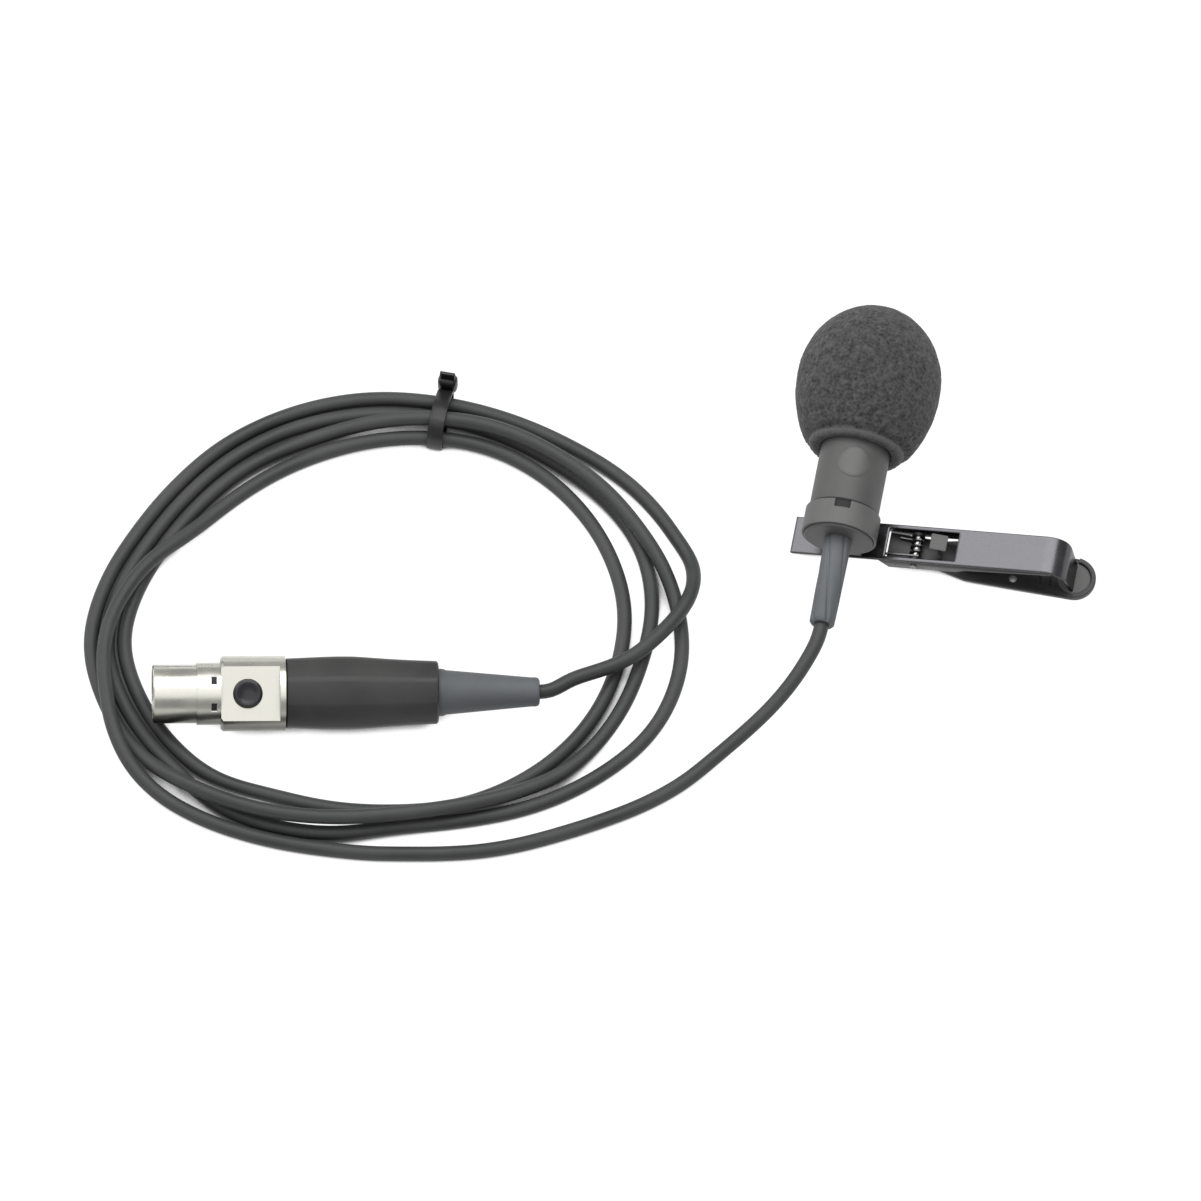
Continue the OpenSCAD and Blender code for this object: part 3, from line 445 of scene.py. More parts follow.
# the low side shares give the two nickels deep painted shade where they face sideways or down
DARK_NICKEL = metal_finish("dark_nickel", (0.105, 0.104, 0.11), (0.135, 0.133, 0.142), 0.25,
                           side=0.1)
STEEL = metal_finish("steel", (0.45, 0.45, 0.44), (0.62, 0.62, 0.6), 0.32)
DARK_STEEL = metal_finish("dark_steel", (0.12, 0.12, 0.12), (0.2, 0.2, 0.2), 0.35)
NICKEL = metal_finish("satin_nickel", (0.76, 0.75, 0.68), (0.84, 0.83, 0.75), 0.28, 0.25, side=0.12)
SLEEVE = painted_finish("sleeve_black", (0.022, 0.0235, 0.022), (0.046, 0.048, 0.045), 0.5)
RELIEF = painted_finish("relief_rubber", (0.105, 0.114, 0.124), (0.145, 0.155, 0.166), 0.6)
BUTTON = painted_finish("button_black", (0.012, 0.012, 0.014), (0.03, 0.03, 0.034), 0.25)
TIE_BLACK = painted_finish("tie_black", (0.008, 0.008, 0.008), (0.02, 0.02, 0.02), 0.35)
# painted shadow, put in the ring's notch, over the ring's edge and in the plug's slots
PAINTED_SHADOW = painted_finish("painted_shadow", (0.006, 0.006, 0.006), (0.014, 0.014, 0.014), 0.6)
INSULATOR = painted_finish("insulator_black", (0.02, 0.02, 0.02), (0.04, 0.04, 0.04), 0.5)
GOLD = metal_finish("contact_gold", (0.7, 0.48, 0.16), (0.9, 0.68, 0.3), 0.25)
CLOTH = painted_finish("screen_cloth", (0.02, 0.02, 0.02), (0.05, 0.05, 0.05), 0.8, 3.0, 0.05)
WIRE = painted_finish("wire_coat", (0.5, 0.06, 0.05), (0.65, 0.1, 0.08), 0.5)
BOARD = painted_finish("board_green", (0.02, 0.16, 0.06), (0.04, 0.25, 0.1), 0.35)
CLEAR = painted_finish("pale_plastic", (0.6, 0.6, 0.57), (0.78, 0.78, 0.74), 0.4)
ALLOY = metal_finish("can_alloy", (0.6, 0.6, 0.58), (0.75, 0.75, 0.73), 0.35)

cable.data.materials.append(CABLE)

# ---- modelling helpers ----

WELD = 1e-7
BLOCK_SEGMENTS = 3

def made(name, bm, place, material, body, sharp=35.0, second=None):
    """Turn a bmesh in metres into a piece that lies in its frame and rides on a body."""
    bmesh.ops.dissolve_degenerate(bm, dist=WELD, edges=bm.edges)
    bmesh.ops.recalc_face_normals(bm, faces=bm.faces)
    bmesh.ops.transform(bm, matrix=place, verts=bm.verts)
    data = bpy.data.meshes.new(name)
    bm.to_mesh(data)
    bm.free()
    data.shade_smooth()
    data.set_sharp_from_angle(angle=math.radians(sharp))
    for finish_of in filter(None, (material, second)):
        data.materials.append(finish_of)
    piece = bpy.data.objects.new(name, data)
    bpy.context.scene.collection.objects.link(piece)
    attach(piece, body)
    return piece


def soften(bm, width, sharp=30.0, segments=2):
    """Round every edge sharper than an angle by a width in millimetres."""
    edges = [e for e in bm.edges
             if len(e.link_faces) == 2 and e.calc_face_angle(0) > math.radians(sharp)]
    bmesh.ops.bevel(bm, geom=edges, offset=width * MM, offset_type="OFFSET", segments=segments,
                    profile=0.5, affect="EDGES", clamp_overlap=True, material=-1)


def turned_mesh(profile, steps=96):
    """Spin a closed outline of (radius, height) points round +Z."""
    bm = bmesh.new()
    ring = [bm.verts.new((r * MM, 0, h * MM)) for r, h in profile]
    pairs = [p for p in zip(ring, ring[1:] + ring[:1]) if p[0].co.x > 0 or p[1].co.x > 0]
    edges = [bm.edges.new(p) for p in pairs]
    bmesh.ops.spin(bm, geom=ring + edges, cent=(0, 0, 0), axis=(0, 0, 1), dvec=(0, 0, 0),
                   angle=math.tau, steps=steps, use_merge=True, use_duplicate=False)
    bmesh.ops.remove_doubles(bm, verts=bm.verts, dist=WELD)
    bmesh.ops.recalc_face_normals(bm, faces=bm.faces)
    return bm


def draw_up(bm, moved, height):
    """Raise what an extrusion has added by a height in millimetres."""
    bmesh.ops.translate(bm, vec=(0, 0, height * MM),
                        verts=[v for v in moved if isinstance(v, bmesh.types.BMVert)])
    bmesh.ops.recalc_face_normals(bm, faces=bm.faces)


def plate_mesh(outline, low, high, hole=None):
    """Extrude a flat outline of (x, y) points, with a hole or none, from one height to another."""
    bm = bmesh.new()
    edges = []
    for loop in (outline, hole or []):
        ring = [bm.verts.new((x * MM, y * MM, low * MM)) for x, y in loop]
        edges += [bm.edges.new(p) for p in zip(ring, ring[1:] + ring[:1])]
    bmesh.ops.triangle_fill(bm, use_beauty=True, edges=edges, normal=(0, 0, 1))
    moved = bmesh.ops.extrude_face_region(bm, geom=bm.faces[:])["geom"]
    draw_up(bm, moved, high - low)
    return bm


def thicken(bm, thickness):
    """Give a sheet a thickness in millimetres, with its faces turned outwards."""
    bmesh.ops.solidify(bm, geom=bm.faces[:], thickness=thickness * MM)
    bmesh.ops.recalc_face_normals(bm, faces=bm.faces)


def add_mesh(bm, part, place, index=0):
    """Join a part, laid in its place and with its finish's number, to a mesh."""
    for face in part.faces:
        face.material_index = index
    bmesh.ops.recalc_face_normals(part, faces=part.faces)
    bmesh.ops.transform(part, matrix=place, verts=part.verts)
    carrier = bpy.data.meshes.new("part")
    part.to_mesh(carrier)
    part.free()
    bm.from_mesh(carrier)
    bpy.data.meshes.remove(carrier)


def add_block(bm, low, high, round_off, index=0, place=Matrix()):
    """Join a block with rounded edges between two corners."""
    block = bmesh.new()
    bmesh.ops.create_cube(block, size=1)
    for v in block.verts:
        v.co = Vector([((a + b) / 2 + (b - a) * c) * MM for a, b, c in zip(low, high, v.co)])
    soften(block, round_off, segments=BLOCK_SEGMENTS)
    add_mesh(bm, block, place, index)


def repaint(node, material):
    """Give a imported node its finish."""
    data = frame["nodes"][node].data
    data.materials.clear()
    data.materials.append(material)


for node, material in {
        "head_grille": HOUSING, "grille_cloth": CLOTH, "capsule_housing": HOUSING,
        "badge": DISC, "capsule_gasket": INSULATOR, "capsule_can": ALLOY, "diaphragm": GOLD,
        "capsule_spacer": CLEAR, "backplate": GOLD, "capsule_holder": CLEAR,
        "capsule_board": BOARD, "rear_cap": HOUSING, "mic_strain_relief": RELIEF,
        "cable_crimp": STEEL, "mic_cable_end": CABLE, "mic_wires": WIRE, "holder_ring": RING,
        "ring_rivet": STEEL, "clip_arm": DARK_NICKEL, "clip_pin": STEEL,
        "clip_spring": DARK_STEEL, "clip_jaw": JAW_BLACK, "coil_tie": TIE_BLACK,
        "plug_shell": NICKEL, "plug_insert": INSULATOR, "plug_contacts": GOLD,
        "plug_button": BUTTON, "button_spring": STEEL, "plug_sleeve": SLEEVE,
        "plug_clamp": STEEL, "plug_strain_relief": RELIEF, "plug_cable_end": CABLE,
        "plug_wires": WIRE}.items():
    repaint(node, material)

# ---- windscreen ----

FOAM_Y = 22.3
FOAM_R = 10.2
FOAM_NOSE = 11.5
FOAM_TAIL = 10.7
FOAM_BACK = 14.19
FOAM_RIM_R = 6.7
FOAM_BORE_R = 5.03
FOAM_BORE_END = 20.7
FOAM_TURN_STEPS = 320
BACK_ROWS = 62
BACK_FIRST = 8
NOSE_ANGLE = 1.3
NOSE_ROWS = 69
# pits of the open cells, and broad unevenness
PORE_DEPTH = 0.19
PORE_SIZE = 0.52
PORE_FILL = 0.62
PORE_SHAPE = 1.2
WALL_SHARE = 0.35
PATCH_SIZE = 1.7
PATCH_HEIGHT = 0.06
# the moulded skin: where it starts, how fast it sets in, its least share and its height
SKIN_FROM = 5.9
SKIN_FADE = 0.5
SKIN_LEAST = 0.1
SKIN_HEIGHT = 0.7


def foam_outline():
    """Half outline of the ball: rim, rounded lip, back, nose and bore."""
    rim = FOAM_Y - FOAM_TAIL
    lip = [(FOAM_BORE_R, rim + 0.25), (FOAM_BORE_R + 0.3, rim), (5.8, rim), (FOAM_RIM_R - 0.3, rim),
           (FOAM_RIM_R - 0.05, rim + 0.15), (FOAM_RIM_R + 0.1, rim + 0.45),
           (FOAM_RIM_R + 0.1, rim + 0.8), (FOAM_RIM_R + 0.15, rim + 1.1)]
    back = []
    for k in range(BACK_FIRST, BACK_ROWS + 1):
        d = FOAM_TAIL * (1 - k / BACK_ROWS)
        back.append((FOAM_R * math.sqrt(1 - (d / FOAM_BACK) ** 2), FOAM_Y - d))
    nose = [(FOAM_R * math.cos(math.radians(a)), FOAM_Y + FOAM_NOSE * math.sin(math.radians(a)))
            for a in [NOSE_ANGLE * k for k in range(1, NOSE_ROWS)]]
    bore = [(0, FOAM_Y + FOAM_NOSE), (0, FOAM_BORE_END), (FOAM_BORE_R, FOAM_BORE_END)]
    return lip + back + nose + bore


def press_pores(bm):
    """Open cells: pits of different depths with thin raised walls left between them.

    The layer "rim" marks the moulded skin for the finish. The bore stays smooth.
    """
    bm.normal_update()
    rim = bm.verts.layers.float.new("rim")
    for v in bm.verts:
        r = math.hypot(v.co.x, v.co.y) / MM
        h = v.co.z / MM
        v[rim] = 0.0
        if r > FOAM_BORE_R and h < FOAM_Y - FOAM_TAIL + SKIN_HEIGHT:
            v[rim] = min(max((r - SKIN_FROM) / SKIN_FADE, SKIN_LEAST), 1)
        if r < FOAM_BORE_R + 0.35 and h < FOAM_BORE_END + 0.1:
            continue
        near = noise.voronoi(v.co / (PORE_SIZE * MM))[0]
        pit = 1 - min(near[0] / PORE_FILL, 1)
        patch = noise.noise(v.co / (PATCH_SIZE * MM))
        v.co += v.normal * MM * (WALL_SHARE * PORE_DEPTH - PORE_DEPTH * pit ** PORE_SHAPE
                                 + PATCH_HEIGHT * patch)


def make_windscreen():
    """The foam ball, with its pores pressed in."""
    bm = turned_mesh(foam_outline(), FOAM_TURN_STEPS)
    press_pores(bm)
    piece = made("foam_windscreen", bm, MIC_AXIS, FOAM, "windscreen", 180)
    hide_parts("windscreen")


# ---- housing, round mark and strain relief ----

BODY_R = 4.95
BODY_BORE = 4.5
BODY_BACK = 2.2
BODY_FRONT = 14.0
BODY_EDGE = 0.15
DISC_R = 2.4
DISC_Y = 8.1
DISC_TURN = 6
DISC_PROUD = 0.1
DISC_SUNK = 0.15
BOOT_R = 1.95
BOOT_LENGTH = 13.3
BOOT_TAPER = 0.15
BOOT_ROWS = 26
BOOT_INSIDE = 0.9
BOOT_ROUND = 0.4
# grooves round the strain relief: how many, how deep, turn per mm, and how narrow they are
GROOVES = 5
GROOVE_DEPTH = 0.24
GROOVE_WIND = 0.09
GROOVE_POWER = 6


def make_housing():
    """A plain tube with a broken back edge."""
    bm = turned_mesh([(BODY_BORE, -BODY_BACK), (BODY_R - BODY_EDGE, -BODY_BACK),
                      (BODY_R, -BODY_BACK + BODY_EDGE), (BODY_R, BODY_FRONT),
                      (BODY_BORE, BODY_FRONT)], 144)
    piece = made("capsule_shell", bm, MIC_AXIS, HOUSING, "microphone")
    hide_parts("capsule_housing")


def make_disc():
    """A thin round plate with a softened edge, curved to lie on the housing."""
    face = [(r, DISC_PROUD) for r in (0, 0.6, 1.2, 1.8, DISC_R - 0.12)]
    back = [(r, -DISC_SUNK) for r in (DISC_R, 1.2, 0)]
    bm = turned_mesh(face + [(DISC_R, DISC_PROUD - 0.06)] + back, 72)
    for v in bm.verts:
        turn = v.co.x / (BODY_R * MM)
        reach = BODY_R * MM + v.co.z
        v.co = Vector((reach * math.sin(turn), DISC_Y * MM + v.co.y, reach * math.cos(turn)))
    place = MIC @ Matrix.Rotation(math.radians(DISC_TURN), 4, "Y")
    piece = made("round_mark", bm, place, DISC, "microphone")
    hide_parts("badge")


def make_boot():
    """The microphone's strain relief, with shallow grooves that wind a little along it."""
    low = -BODY_BACK - BOOT_LENGTH
    inside = -BODY_BACK + BOOT_INSIDE
    side = [(BOOT_R - BOOT_TAPER * k / BOOT_ROWS, -BODY_BACK - (BOOT_LENGTH - 0.3) * k / BOOT_ROWS)
            for k in range(BOOT_ROWS + 1)]
    bm = turned_mesh([(CORD_R + FIT, inside), (BOOT_R - BOOT_ROUND, inside)] + side
                     + [(BOOT_R - BOOT_ROUND, low), (CORD_R + FIT, low)], 96)
    for v in bm.verts:
        r = math.hypot(v.co.x, v.co.y) / MM
        if r > BOOT_R - 0.2:
            around = math.atan2(v.co.y, v.co.x) + v.co.z / MM * GROOVE_WIND
            groove = GROOVE_DEPTH * max(math.cos(GROOVES * around), 0) ** GROOVE_POWER
            v.co.x *= 1 - groove / r
            v.co.y *= 1 - groove / r
    piece = made("mic_boot", bm, MIC_AXIS, RELIEF, "microphone", 50)
    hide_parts("mic_strain_relief")


# ---- clip ----

RING_IN = 4.98
RING_WALL = 0.4
RING_HALF = 1.9
RING_STEPS = 240
RING_ROWS = 19
NOTCH_HALF = 1.05
NOTCH_FROM = 0.7
NOTCH_TURN = 12
# painted shadow: the strip in the notch, how far out it lies and how thick; the band over the ring's edge, how
# thick and how high
NOTCH_SHADOW_OUT = 0.06
NOTCH_SHADOW_T = 0.05
EDGE_SHADOW_T = 0.14
EDGE_SHADOW_HIGH = 0.28
FOOT_HALF = 2.2
FOOT_Z = -5.6
SHEET_T = 0.5
ARM_SIDE = 0.7
ARM_HALF = 2.8
ARM_BACK = 8.3
ARM_REACH = 31.6
ARM_BEND = 3.1
ARM_STEP = 0.3
ARM_ROWS = 28
# the turned-down tip grows narrower by this share, from this far past the start of the bend
TIP_NARROW = 0.25
TIP_FROM = 3
WALL_Z = -13.1
# the window's two ends and its half width
WINDOW = (5.5, 15.7, 2.2)
CHEEK = [(4.5, -6.0), (5.7, -8.13), (11.3, -8.13), (15.6, -8.13), (17.2, -7.45), (28.5, -6.85),
         (29.9, -6.85), (29.5, -6.0)]
JAW_HALF = 3.1
JAW_NECK = 2.2
JAW_TAIL = -4
JAW_NECK_END = 3.5
JAW_WIDE_FROM = 7.5
JAW_END = 22.7
JAW_LOW = -1.5
JAW_TOP = -1.0
JAW_SINK = 0.1
HOLE_R = 0.6
HOLE_BACK = 8.5
RIM_SPAN = 168
RIM_STEPS = 40
PAD_EDGE = 0.75
TREADS = 3
TREAD_PITCH = 1.4
TREAD_HALF = 1.9
EAR_Y = 1.975
EAR_T = 0.22
EAR_R = 0.95
EAR_BORE = 0.53
EAR_LONG = 0.9
EAR_HIGH = 0.2
TREAD_FROM = 6.4
TREAD_LONG = 0.4
TREAD_HIGH = 0.15
TAB_HALF = 1.2
# the thumb tab's post and its cap, each by its ends along the jaw and its top, in the jaw's frame
POST = (3.2, 3.7, 3.5)
CAP = (1.9, 4.3, 3.55)
CAP_LOW = 2.95


def make_ring():
    """A band bent round the housing, notched at the edge nearest the head, on a small foot.

    A painted-shadow strip fills the notch and a thin painted-shadow band lies over that edge.
    """
    bm = bmesh.new()
    bmesh.ops.create_grid(bm, x_segments=RING_STEPS, y_segments=RING_ROWS, size=1)
    for v in bm.verts:
        v.co.y *= RING_HALF * MM
    notch = NOTCH_HALF / RING_IN / math.pi
    middle = math.radians(NOTCH_TURN) / math.pi
    cut = [f for f in bm.faces if abs(f.calc_center_median().x - middle) < notch
           and f.calc_center_median().y > NOTCH_FROM * MM]
    bmesh.ops.delete(bm, geom=cut, context="FACES")
    for v in bm.verts:
        turn = v.co.x * math.pi
        v.co = Vector((RING_IN * MM * math.sin(turn), v.co.y, RING_IN * MM * math.cos(turn)))
    bmesh.ops.remove_doubles(bm, verts=bm.verts, dist=1e-6)
    bmesh.ops.recalc_face_normals(bm, faces=bm.faces)
    thicken(bm, -RING_WALL)
    soften(bm, 0.15, 50)
    add_block(bm, (-FOOT_HALF, -RING_HALF, FOOT_Z), (FOOT_HALF, RING_HALF, -RING_IN - 0.1), 0.08)
    # painted shadow: a dark strip where the notch shows shade
    notch_shadow = bmesh.new()
    bmesh.ops.create_grid(notch_shadow, x_segments=12, y_segments=1, size=1)
    for v in notch_shadow.verts:
        turn = math.radians(NOTCH_TURN) + v.co.x * (NOTCH_HALF - FIT) / RING_IN
        reach = (RING_IN + NOTCH_SHADOW_OUT) * MM
        along = (NOTCH_FROM + RING_HALF) / 2 + v.co.y * ((RING_HALF - NOTCH_FROM) / 2 - FIT)
        v.co = Vector((reach * math.sin(turn), along * MM, reach * math.cos(turn)))
    thicken(notch_shadow, NOTCH_SHADOW_T)
    add_mesh(bm, notch_shadow, Matrix(), 1)
    # painted shadow: a dark band where the gap between ring and housing shows shade
    edge_shadow = turned_mesh([(RING_IN, RING_HALF), (RING_IN + EDGE_SHADOW_T, RING_HALF),
                        (RING_IN + 0.1, RING_HALF + EDGE_SHADOW_HIGH),
                        (RING_IN, RING_HALF + EDGE_SHADOW_HIGH)], 144)
    add_mesh(bm, edge_shadow, Matrix.Rotation(math.radians(-90), 4, "X"), 1)
    piece = made("clip_ring", bm, CLIP, RING, "clip", second=PAINTED_SHADOW)
    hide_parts("holder_ring")


def arm_point(along, height):
    """Place of a point on the bent sheet, from its distance along it and its height above it."""
    flat = ARM_REACH - ARM_BEND + ARM_BACK
    arc = ARM_BEND * math.pi / 2
    if along < flat:
        return along - ARM_BACK, FOOT_Z + height
    if along < flat + arc:
        turn = (along - flat) / ARM_BEND
        reach = ARM_BEND + height
        return (ARM_REACH - ARM_BEND + reach * math.sin(turn),
                FOOT_Z - ARM_BEND + reach * math.cos(turn))
    return ARM_REACH + height, FOOT_Z - ARM_BEND - (along - flat - arc)


def make_arm():
    """Sheet metal: a windowed web bent down at its tip, with a cheek along each side."""
    flat = ARM_REACH - ARM_BEND + ARM_BACK
    length = flat + ARM_BEND * math.pi / 2 + FOOT_Z - ARM_BEND - WALL_Z
    rows = round(length / ARM_STEP)
    bm = bmesh.new()
    bmesh.ops.create_grid(bm, x_segments=rows, y_segments=ARM_ROWS, size=1)
    for v in bm.verts:
        v.co.x = (v.co.x + 1) / 2 * rows * ARM_STEP * MM
        v.co.y *= ARM_HALF * MM
    cut = [f for f in bm.faces if abs(f.calc_center_median().y) < WINDOW[2] * MM
           and WINDOW[0] < f.calc_center_median().x / MM - ARM_BACK < WINDOW[1]]
    bmesh.ops.delete(bm, geom=cut, context="FACES")
    bmesh.ops.recalc_face_normals(bm, faces=bm.faces)
    if bm.faces[0].normal.z < 0:
        bmesh.ops.reverse_faces(bm, faces=bm.faces)
    thicken(bm, SHEET_T)
    soften(bm, 0.12, 50)
    high = max(v.co.z for v in bm.verts)
    for v in bm.verts:
        along = v.co.x / MM
        x, z = arm_point(along, (v.co.z - high) / MM)
        narrow = 1 - TIP_NARROW * max(0, (along - flat - TIP_FROM) / (length - flat - TIP_FROM))
        v.co = Vector((x * MM, v.co.y * narrow, z * MM))
    for side in (-1, 1):
        cheek = plate_mesh(CHEEK, -SHEET_T / 2, SHEET_T / 2)
        soften(cheek, 0.1)
        lay = Matrix.Translation((0, side * (ARM_HALF - SHEET_T / 2) * MM, 0))
        add_mesh(bm, cheek, lay @ Matrix.Rotation(math.radians(90), 4, "X"))
    place = CLIP @ Matrix.Translation((0, ARM_SIDE * MM, 0))
    piece = made("clip_upper_arm", bm, place, DARK_NICKEL, "clip")
    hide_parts("clip_arm")


def make_jaw():
    """A plate with a round, rimmed and padded end, treads, ears on the pin and a thumb tab."""
    arc = [(JAW_END + JAW_HALF * math.sin(math.radians(a)), -JAW_HALF * math.cos(math.radians(a)))
           for a in range(0, 181, 5)]
    neck = [(JAW_TAIL, JAW_NECK), (JAW_NECK_END, JAW_NECK), (JAW_WIDE_FROM, JAW_HALF)]
    outline = [(x, -y) for x, y in neck] + arc + neck[::-1]
    hole = [(JAW_END - HOLE_BACK + HOLE_R * math.cos(math.radians(a)),
             -JAW_HALF / 2 + HOLE_R * math.sin(math.radians(a))) for a in range(0, 360, 20)]
    bm = plate_mesh(outline, JAW_LOW, JAW_TOP, hole)
    soften(bm, 0.1, 50)
    rim = bmesh.new()
    section = [rim.verts.new((r * MM, 0, z * MM)) for r, z in (
        (JAW_HALF, JAW_LOW + JAW_SINK), (JAW_HALF, -0.6), (JAW_HALF - 0.1, -0.5),
        (JAW_HALF - 0.6, -0.5), (JAW_HALF - 0.7, -0.6), (JAW_HALF - 0.7, JAW_LOW + JAW_SINK))]
    face = rim.faces.new(section)
    bmesh.ops.spin(rim, geom=[face], cent=(0, 0, 0), axis=(0, 0, 1), angle=math.radians(RIM_SPAN),
                   steps=RIM_STEPS)
    to_end = Matrix.Translation((JAW_END * MM, 0, 0))
    add_mesh(bm, rim, to_end @ Matrix.Rotation(math.radians(-RIM_SPAN / 2), 4, "Z"))
    base = JAW_TOP - JAW_SINK
    for k in range(TREADS):
        tread = JAW_END - TREAD_FROM + TREAD_PITCH * k
        add_block(bm, (tread, -TREAD_HALF, base),
                  (tread + TREAD_LONG, TREAD_HALF, JAW_TOP + TREAD_HIGH), 0.08)
    for side in (-1, 1):
        mid = side * EAR_Y
        add_block(bm, (-EAR_LONG, mid - EAR_T, base), (EAR_LONG, mid + EAR_T, EAR_HIGH), 0.06)
        ear = turned_mesh([(EAR_BORE, -EAR_T), (EAR_R, -EAR_T), (EAR_R, EAR_T),
                           (EAR_BORE, EAR_T)], 40)
        add_mesh(bm, ear, Matrix.Translation((0, mid * MM, 0))
                 @ Matrix.Rotation(math.radians(90), 4, "X"))
    add_block(bm, (POST[0], -TAB_HALF, base), (POST[1], TAB_HALF, POST[2]), 0.06)
    # the cap takes the paler grey finish as a painted reflection of the light on its bevelled top
    add_block(bm, (CAP[0], -TAB_HALF, CAP_LOW), (CAP[1], TAB_HALF, CAP[2]), 0.12, 1)
    edge = JAW_HALF - PAD_EDGE
    pad = turned_mesh([(0, JAW_TOP + 0.08), (JAW_HALF - 1, JAW_TOP + 0.08), (edge, JAW_TOP + 0.02),
                       (edge, base), (0, base)], 64)
    add_mesh(bm, pad, to_end, 1)
    piece = made("clip_lower_jaw", bm, JAW, JAW_BLACK, "jaw", second=PAD_GREY)
    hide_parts("clip_jaw")


# ---- plug ----

SHELL_R = 5.3
# the grip swells by this much, most at this share of its length, then draws in
SWELL = 0.32
SWELL_AT = 0.36
SWELL_WIDTH = 0.3
DRAW_IN = 0.42
DRAW_FROM = 0.45
GRIP_ROWS = 40
GRIP_FACES = 8
FACE_SHARE = 0.42
FACE_DEPTH = 0.55
ROUND_DEPTH = 0.45
GRIP_INNER = 4.55
SLEEVE_FROM = 18.7
SLEEVE_TO = 40.3
NECK_OUT = 4.5
NECK_END = 24.0
SLEEVE_BORE = 3.9
TAIL_R = 3.35
TAIL_TIP_R = 1.95
BUTTON_X = 13.35
SLOT_FROM = 8.22
SLOT_LONG = 0.76
SLOT_HALF = 0.6
SLOT_LOW = 4.0
SLOT_HIGH = 4.3
SLOT_LEAN = 27.8
BUTTON_R = 2.0
BUTTON_TOP = 4.34
BUTTON_LOW = 2.1
# the button's dished face: distance from its middle, and depth under its top
BUTTON_FACE = [(0, 0.3), (0.7, 0.27), (1.2, 0.14), (1.5, 0.02), (1.68, 0), (1.86, 0.07),
               (1.97, 0.22), (BUTTON_R, 0.4)]


def make_sleeve():
    """The plug's grip: long flat faces round a barrel that swells at a third of its length.

    Its second part is a painted-shadow floor for the two slots in the collar ahead of it.
    """
    side = []
    for k in range(GRIP_ROWS + 1):
        t = k / GRIP_ROWS
        swell = SWELL * math.exp(-((t - SWELL_AT) / SWELL_WIDTH) ** 2)
        side.append((SHELL_R - 0.3 + swell - DRAW_IN * max(t - DRAW_FROM, 0) / (1 - DRAW_FROM),
                     SLEEVE_FROM + 0.25 + (SLEEVE_TO - SLEEVE_FROM - 0.5) * t))
    bm = turned_mesh([(NECK_OUT + FIT, SLEEVE_FROM), (SHELL_R - 0.5, SLEEVE_FROM)] + side
                     + [(4.2, SLEEVE_TO), (TAIL_R + FIT, SLEEVE_TO), (TAIL_R + FIT, SLEEVE_TO - 2),
                        (SLEEVE_BORE, SLEEVE_TO - 2), (SLEEVE_BORE, NECK_END),
                        (NECK_OUT + FIT, NECK_END)], 192)
    corner = math.cos(math.tau / GRIP_FACES * FACE_SHARE)
    for v in bm.verts:
        r = math.hypot(v.co.x, v.co.y) / MM
        if r < GRIP_INNER:
            continue
        turn = math.atan2(v.co.y, v.co.x)
        off = (turn * GRIP_FACES / math.tau + 0.5) % 1 - 0.5
        flat = corner / max(math.cos(off * math.tau / GRIP_FACES), corner)
        v.co.x *= flat * FACE_DEPTH + ROUND_DEPTH
        v.co.y *= flat * FACE_DEPTH + ROUND_DEPTH
    to_plug = PLUG_AXIS.inverted() @ PLUG
    # painted shadow at the bottom of the two collar slots
    for side in (-1, 1):
        lean = Matrix.Rotation(side * math.radians(SLOT_LEAN), 4, "X")
        add_block(bm, (SLOT_FROM, -SLOT_HALF, SLOT_LOW),
                  (SLOT_FROM + SLOT_LONG, SLOT_HALF, SLOT_HIGH), 0.02, 1, to_plug @ lean)
    piece = made("plug_grip", bm, PLUG_AXIS, SLEEVE, "microphone", 25, PAINTED_SHADOW)
    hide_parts("plug_sleeve")
    return piece


def make_tail():
    """The plug's strain relief: a cone held in the grip, with a bead round its thin end."""
    end = PLUG_LENGTH
    bead = TAIL_TIP_R + 0.12
    bm = turned_mesh([(CORD_R + FIT, SLEEVE_TO - 3.8), (SLEEVE_BORE - FIT, SLEEVE_TO - 3.8),
                      (SLEEVE_BORE - FIT, SLEEVE_TO - 2), (TAIL_R, SLEEVE_TO - 2),
                      (TAIL_R, SLEEVE_TO + 0.5), (TAIL_R - 0.05, SLEEVE_TO + 0.8),
                      (TAIL_R - 0.2, SLEEVE_TO + 1.1), (bead, end - 1.2), (bead, end - 0.5),
                      (TAIL_TIP_R - 0.02, end - 0.15), (TAIL_TIP_R - 0.3, end),
                      (CORD_R + FIT, end)], 96)
    piece = made("plug_boot", bm, PLUG_AXIS, RELIEF, "microphone", 40)
    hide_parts("plug_strain_relief")
    return piece


def make_button():
    """A glossy push button, dished in the middle, on its guide plate."""
    bm = turned_mesh([(r, BUTTON_TOP - dip) for r, dip in BUTTON_FACE]
                     + [(BUTTON_R, BUTTON_LOW), (0, BUTTON_LOW)], 96)
    add_block(bm, (-BUTTON_R - 0.5, -1.5, 1.75), (BUTTON_R + 0.5, 1.5, 2.2), 0.05)
    place = PLUG @ Matrix.Translation((BUTTON_X * MM, 0, 0))
    piece = made("latch_button", bm, place, BUTTON, "latch")
    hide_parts("plug_button")


# ---- tie ----

TIE_BAND = [(-3.1, 0.42), (5.3, 0.42), (5.3, 2.75), (1.6, 4.95), (-1.4, 4.95), (-3.1, 2.75)]
TIE_CORNER = 0.9
TIE_HALF = 1.1
# the head's nearest corner, its width and its height, and how far it is wider than the band
TIE_HEAD = (5.65, 1.2, 2.0, 3.0)
HEAD_WIDER = 0.3


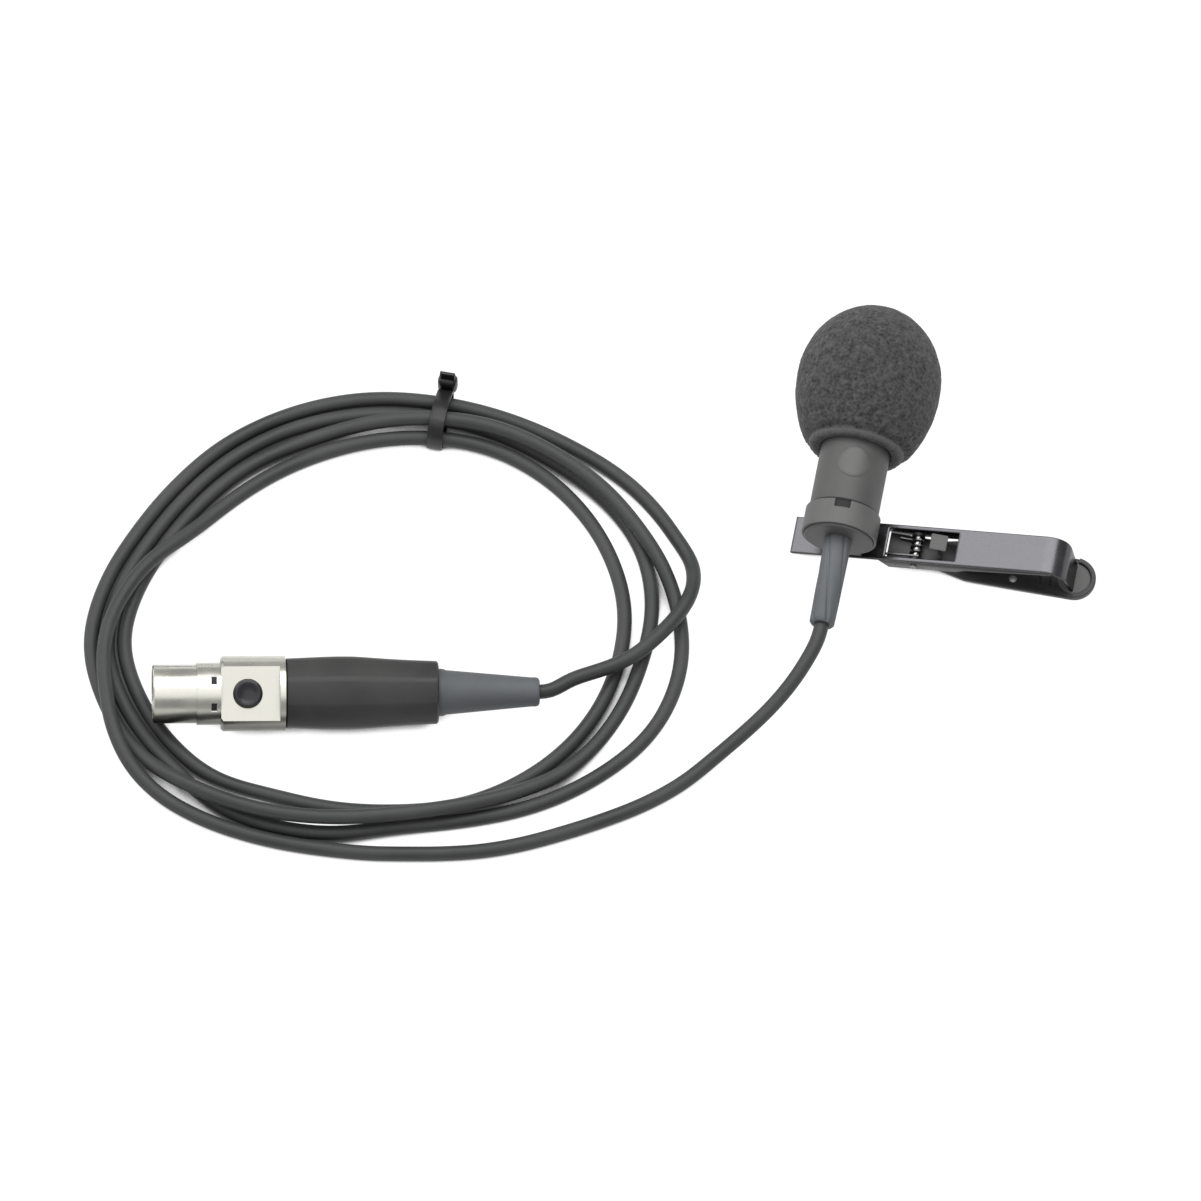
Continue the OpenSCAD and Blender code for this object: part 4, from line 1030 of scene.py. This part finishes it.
def make_tie():
    """A band drawn round the strands, with its head on the outer side."""
    t = math.radians(TIE_ANGLE)
    coil_turn = Matrix.Rotation(COIL_TURN, 3, "Z")
    out = coil_turn @ Vector((COIL_B * math.cos(t), COIL_A * math.sin(t), 0)).normalized()
    at = coil_turn @ Vector((COIL_A * math.cos(t), COIL_B * math.sin(t), 0))
    at += Vector((COIL_AT[0], COIL_AT[1], 0))
    place = axes(at * MM, out, Vector((0, 0, 1)), out.cross(Vector((0, 0, 1))))
    bm = bmesh.new()
    ring = [bm.verts.new((x * MM, y * MM, -TIE_HALF * MM)) for x, y in TIE_BAND]
    for a, b in zip(ring, ring[1:] + ring[:1]):
        bm.edges.new((a, b))
    bmesh.ops.bevel(bm, geom=ring, offset=TIE_CORNER * MM, segments=5, profile=0.5,
                    affect="VERTICES", material=-1)
    moved = bmesh.ops.extrude_edge_only(bm, edges=bm.edges[:])["geom"]
    draw_up(bm, moved, 2 * TIE_HALF)
    thicken(bm, -TIE_T)
    soften(bm, 0.1, 50)
    x, y, wide, high = TIE_HEAD
    add_block(bm, (x, y, -TIE_HALF - HEAD_WIDER), (x + wide, y + high, TIE_HALF + HEAD_WIDER), 0.75)
    add_block(bm, (x + 0.65, y + high - 0.1, -TIE_HALF), (x + 1.15, y + high + 1.4, TIE_HALF), 0.12)
    piece = made("tie_band", bm, place, TIE_BLACK, "microphone")
    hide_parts("coil_tie")
    return piece


make_windscreen()
make_housing()
make_disc()
make_boot()
make_ring()
make_arm()
make_jaw()
make_button()
plug_new = [make_sleeve(), make_tail(), make_tie()]

# ---- studio ----

FLOOR_HALF = 2.5
FLOOR_DROP = 0.05
# how far over the table a piece casts painted shadow, and the open share from which that painted shadow goes dark
# to white
SHADE_REACH = 3.2
SHADE_SAMPLES = 24
OPEN_RANGE = (0.25, 0.42)
SHADOW_GLOW = 0.04
FULL_GLOW = 1.0
WORLD_LIGHT = 0.35
LIGHT_AIM = (-0.04, -0.02, 0)
# name, place, power, width and height of each panel, in metres and watts
PANELS = [
    ("top_panel", (-0.02, 0.22, 0.75), 4.0, 0.9, 0.5),
    ("left_panel", (-0.75, 0.1, 0.45), 1.8, 0.4, 0.7),
    ("front_panel", (-0.12, -0.32, 0.7), 1.2, 0.8, 0.6)]


def set_floor():
    """A glowing white table, its glow dimmed into painted shadow only where pieces close over it, as between
    strands.
    """
    bm = bmesh.new()
    bmesh.ops.create_grid(bm, x_segments=1, y_segments=1, size=FLOOR_HALF)
    bmesh.ops.translate(bm, vec=(0, 0, -FLOOR_DROP * MM), verts=bm.verts)
    data = bpy.data.meshes.new("floor")
    bm.to_mesh(data)
    bm.free()
    material, nodes, links, shader = finish("floor_white", (0.1, 0.1, 0.1), 0.9)
    shader.inputs["Emission Color"].default_value = (1, 1, 1, 1)
    cover = nodes.new("ShaderNodeAmbientOcclusion")
    cover.samples = SHADE_SAMPLES
    cover.inputs["Distance"].default_value = SHADE_REACH * MM
    # painted shadow: the glow falls off where pieces close over the table
    range_to(nodes, links, cover.outputs["AO"], SHADOW_GLOW, FULL_GLOW,
             shader.inputs["Emission Strength"], OPEN_RANGE)
    cloud = grain(nodes, links, 0.01)
    shade_between(nodes, links, cloud.outputs["Fac"], (0.09, 0.09, 0.09), (0.11, 0.11, 0.11),
                  shader.inputs["Base Color"])
    data.materials.append(material)
    floor = bpy.data.objects.new("floor", data)
    bpy.context.scene.collection.objects.link(floor)


def soft_light(name, place, power, wide, high):
    """A panel light aimed at the part."""
    data = bpy.data.lights.new(name, "AREA")
    data.shape = "RECTANGLE"
    data.energy = power
    data.size = wide
    data.size_y = high
    lamp = bpy.data.objects.new(name, data)
    bpy.context.scene.collection.objects.link(lamp)
    lamp.location = place
    lamp.rotation_euler = (Vector(LIGHT_AIM) - lamp.location).to_track_quat("-Z", "Y").to_euler()


def set_studio():
    """Grey surroundings, the panels and the table."""
    scene = bpy.context.scene
    scene.view_settings.view_transform = "Standard"
    world = bpy.data.worlds.new("studio_grey")
    world.use_nodes = True
    background = world.node_tree.nodes["Background"]
    background.inputs["Color"].default_value = (1, 1, 1, 1)
    background.inputs["Strength"].default_value = WORLD_LIGHT
    scene.world = world
    for panel in PANELS:
        soft_light(*panel)
    set_floor()


set_studio()
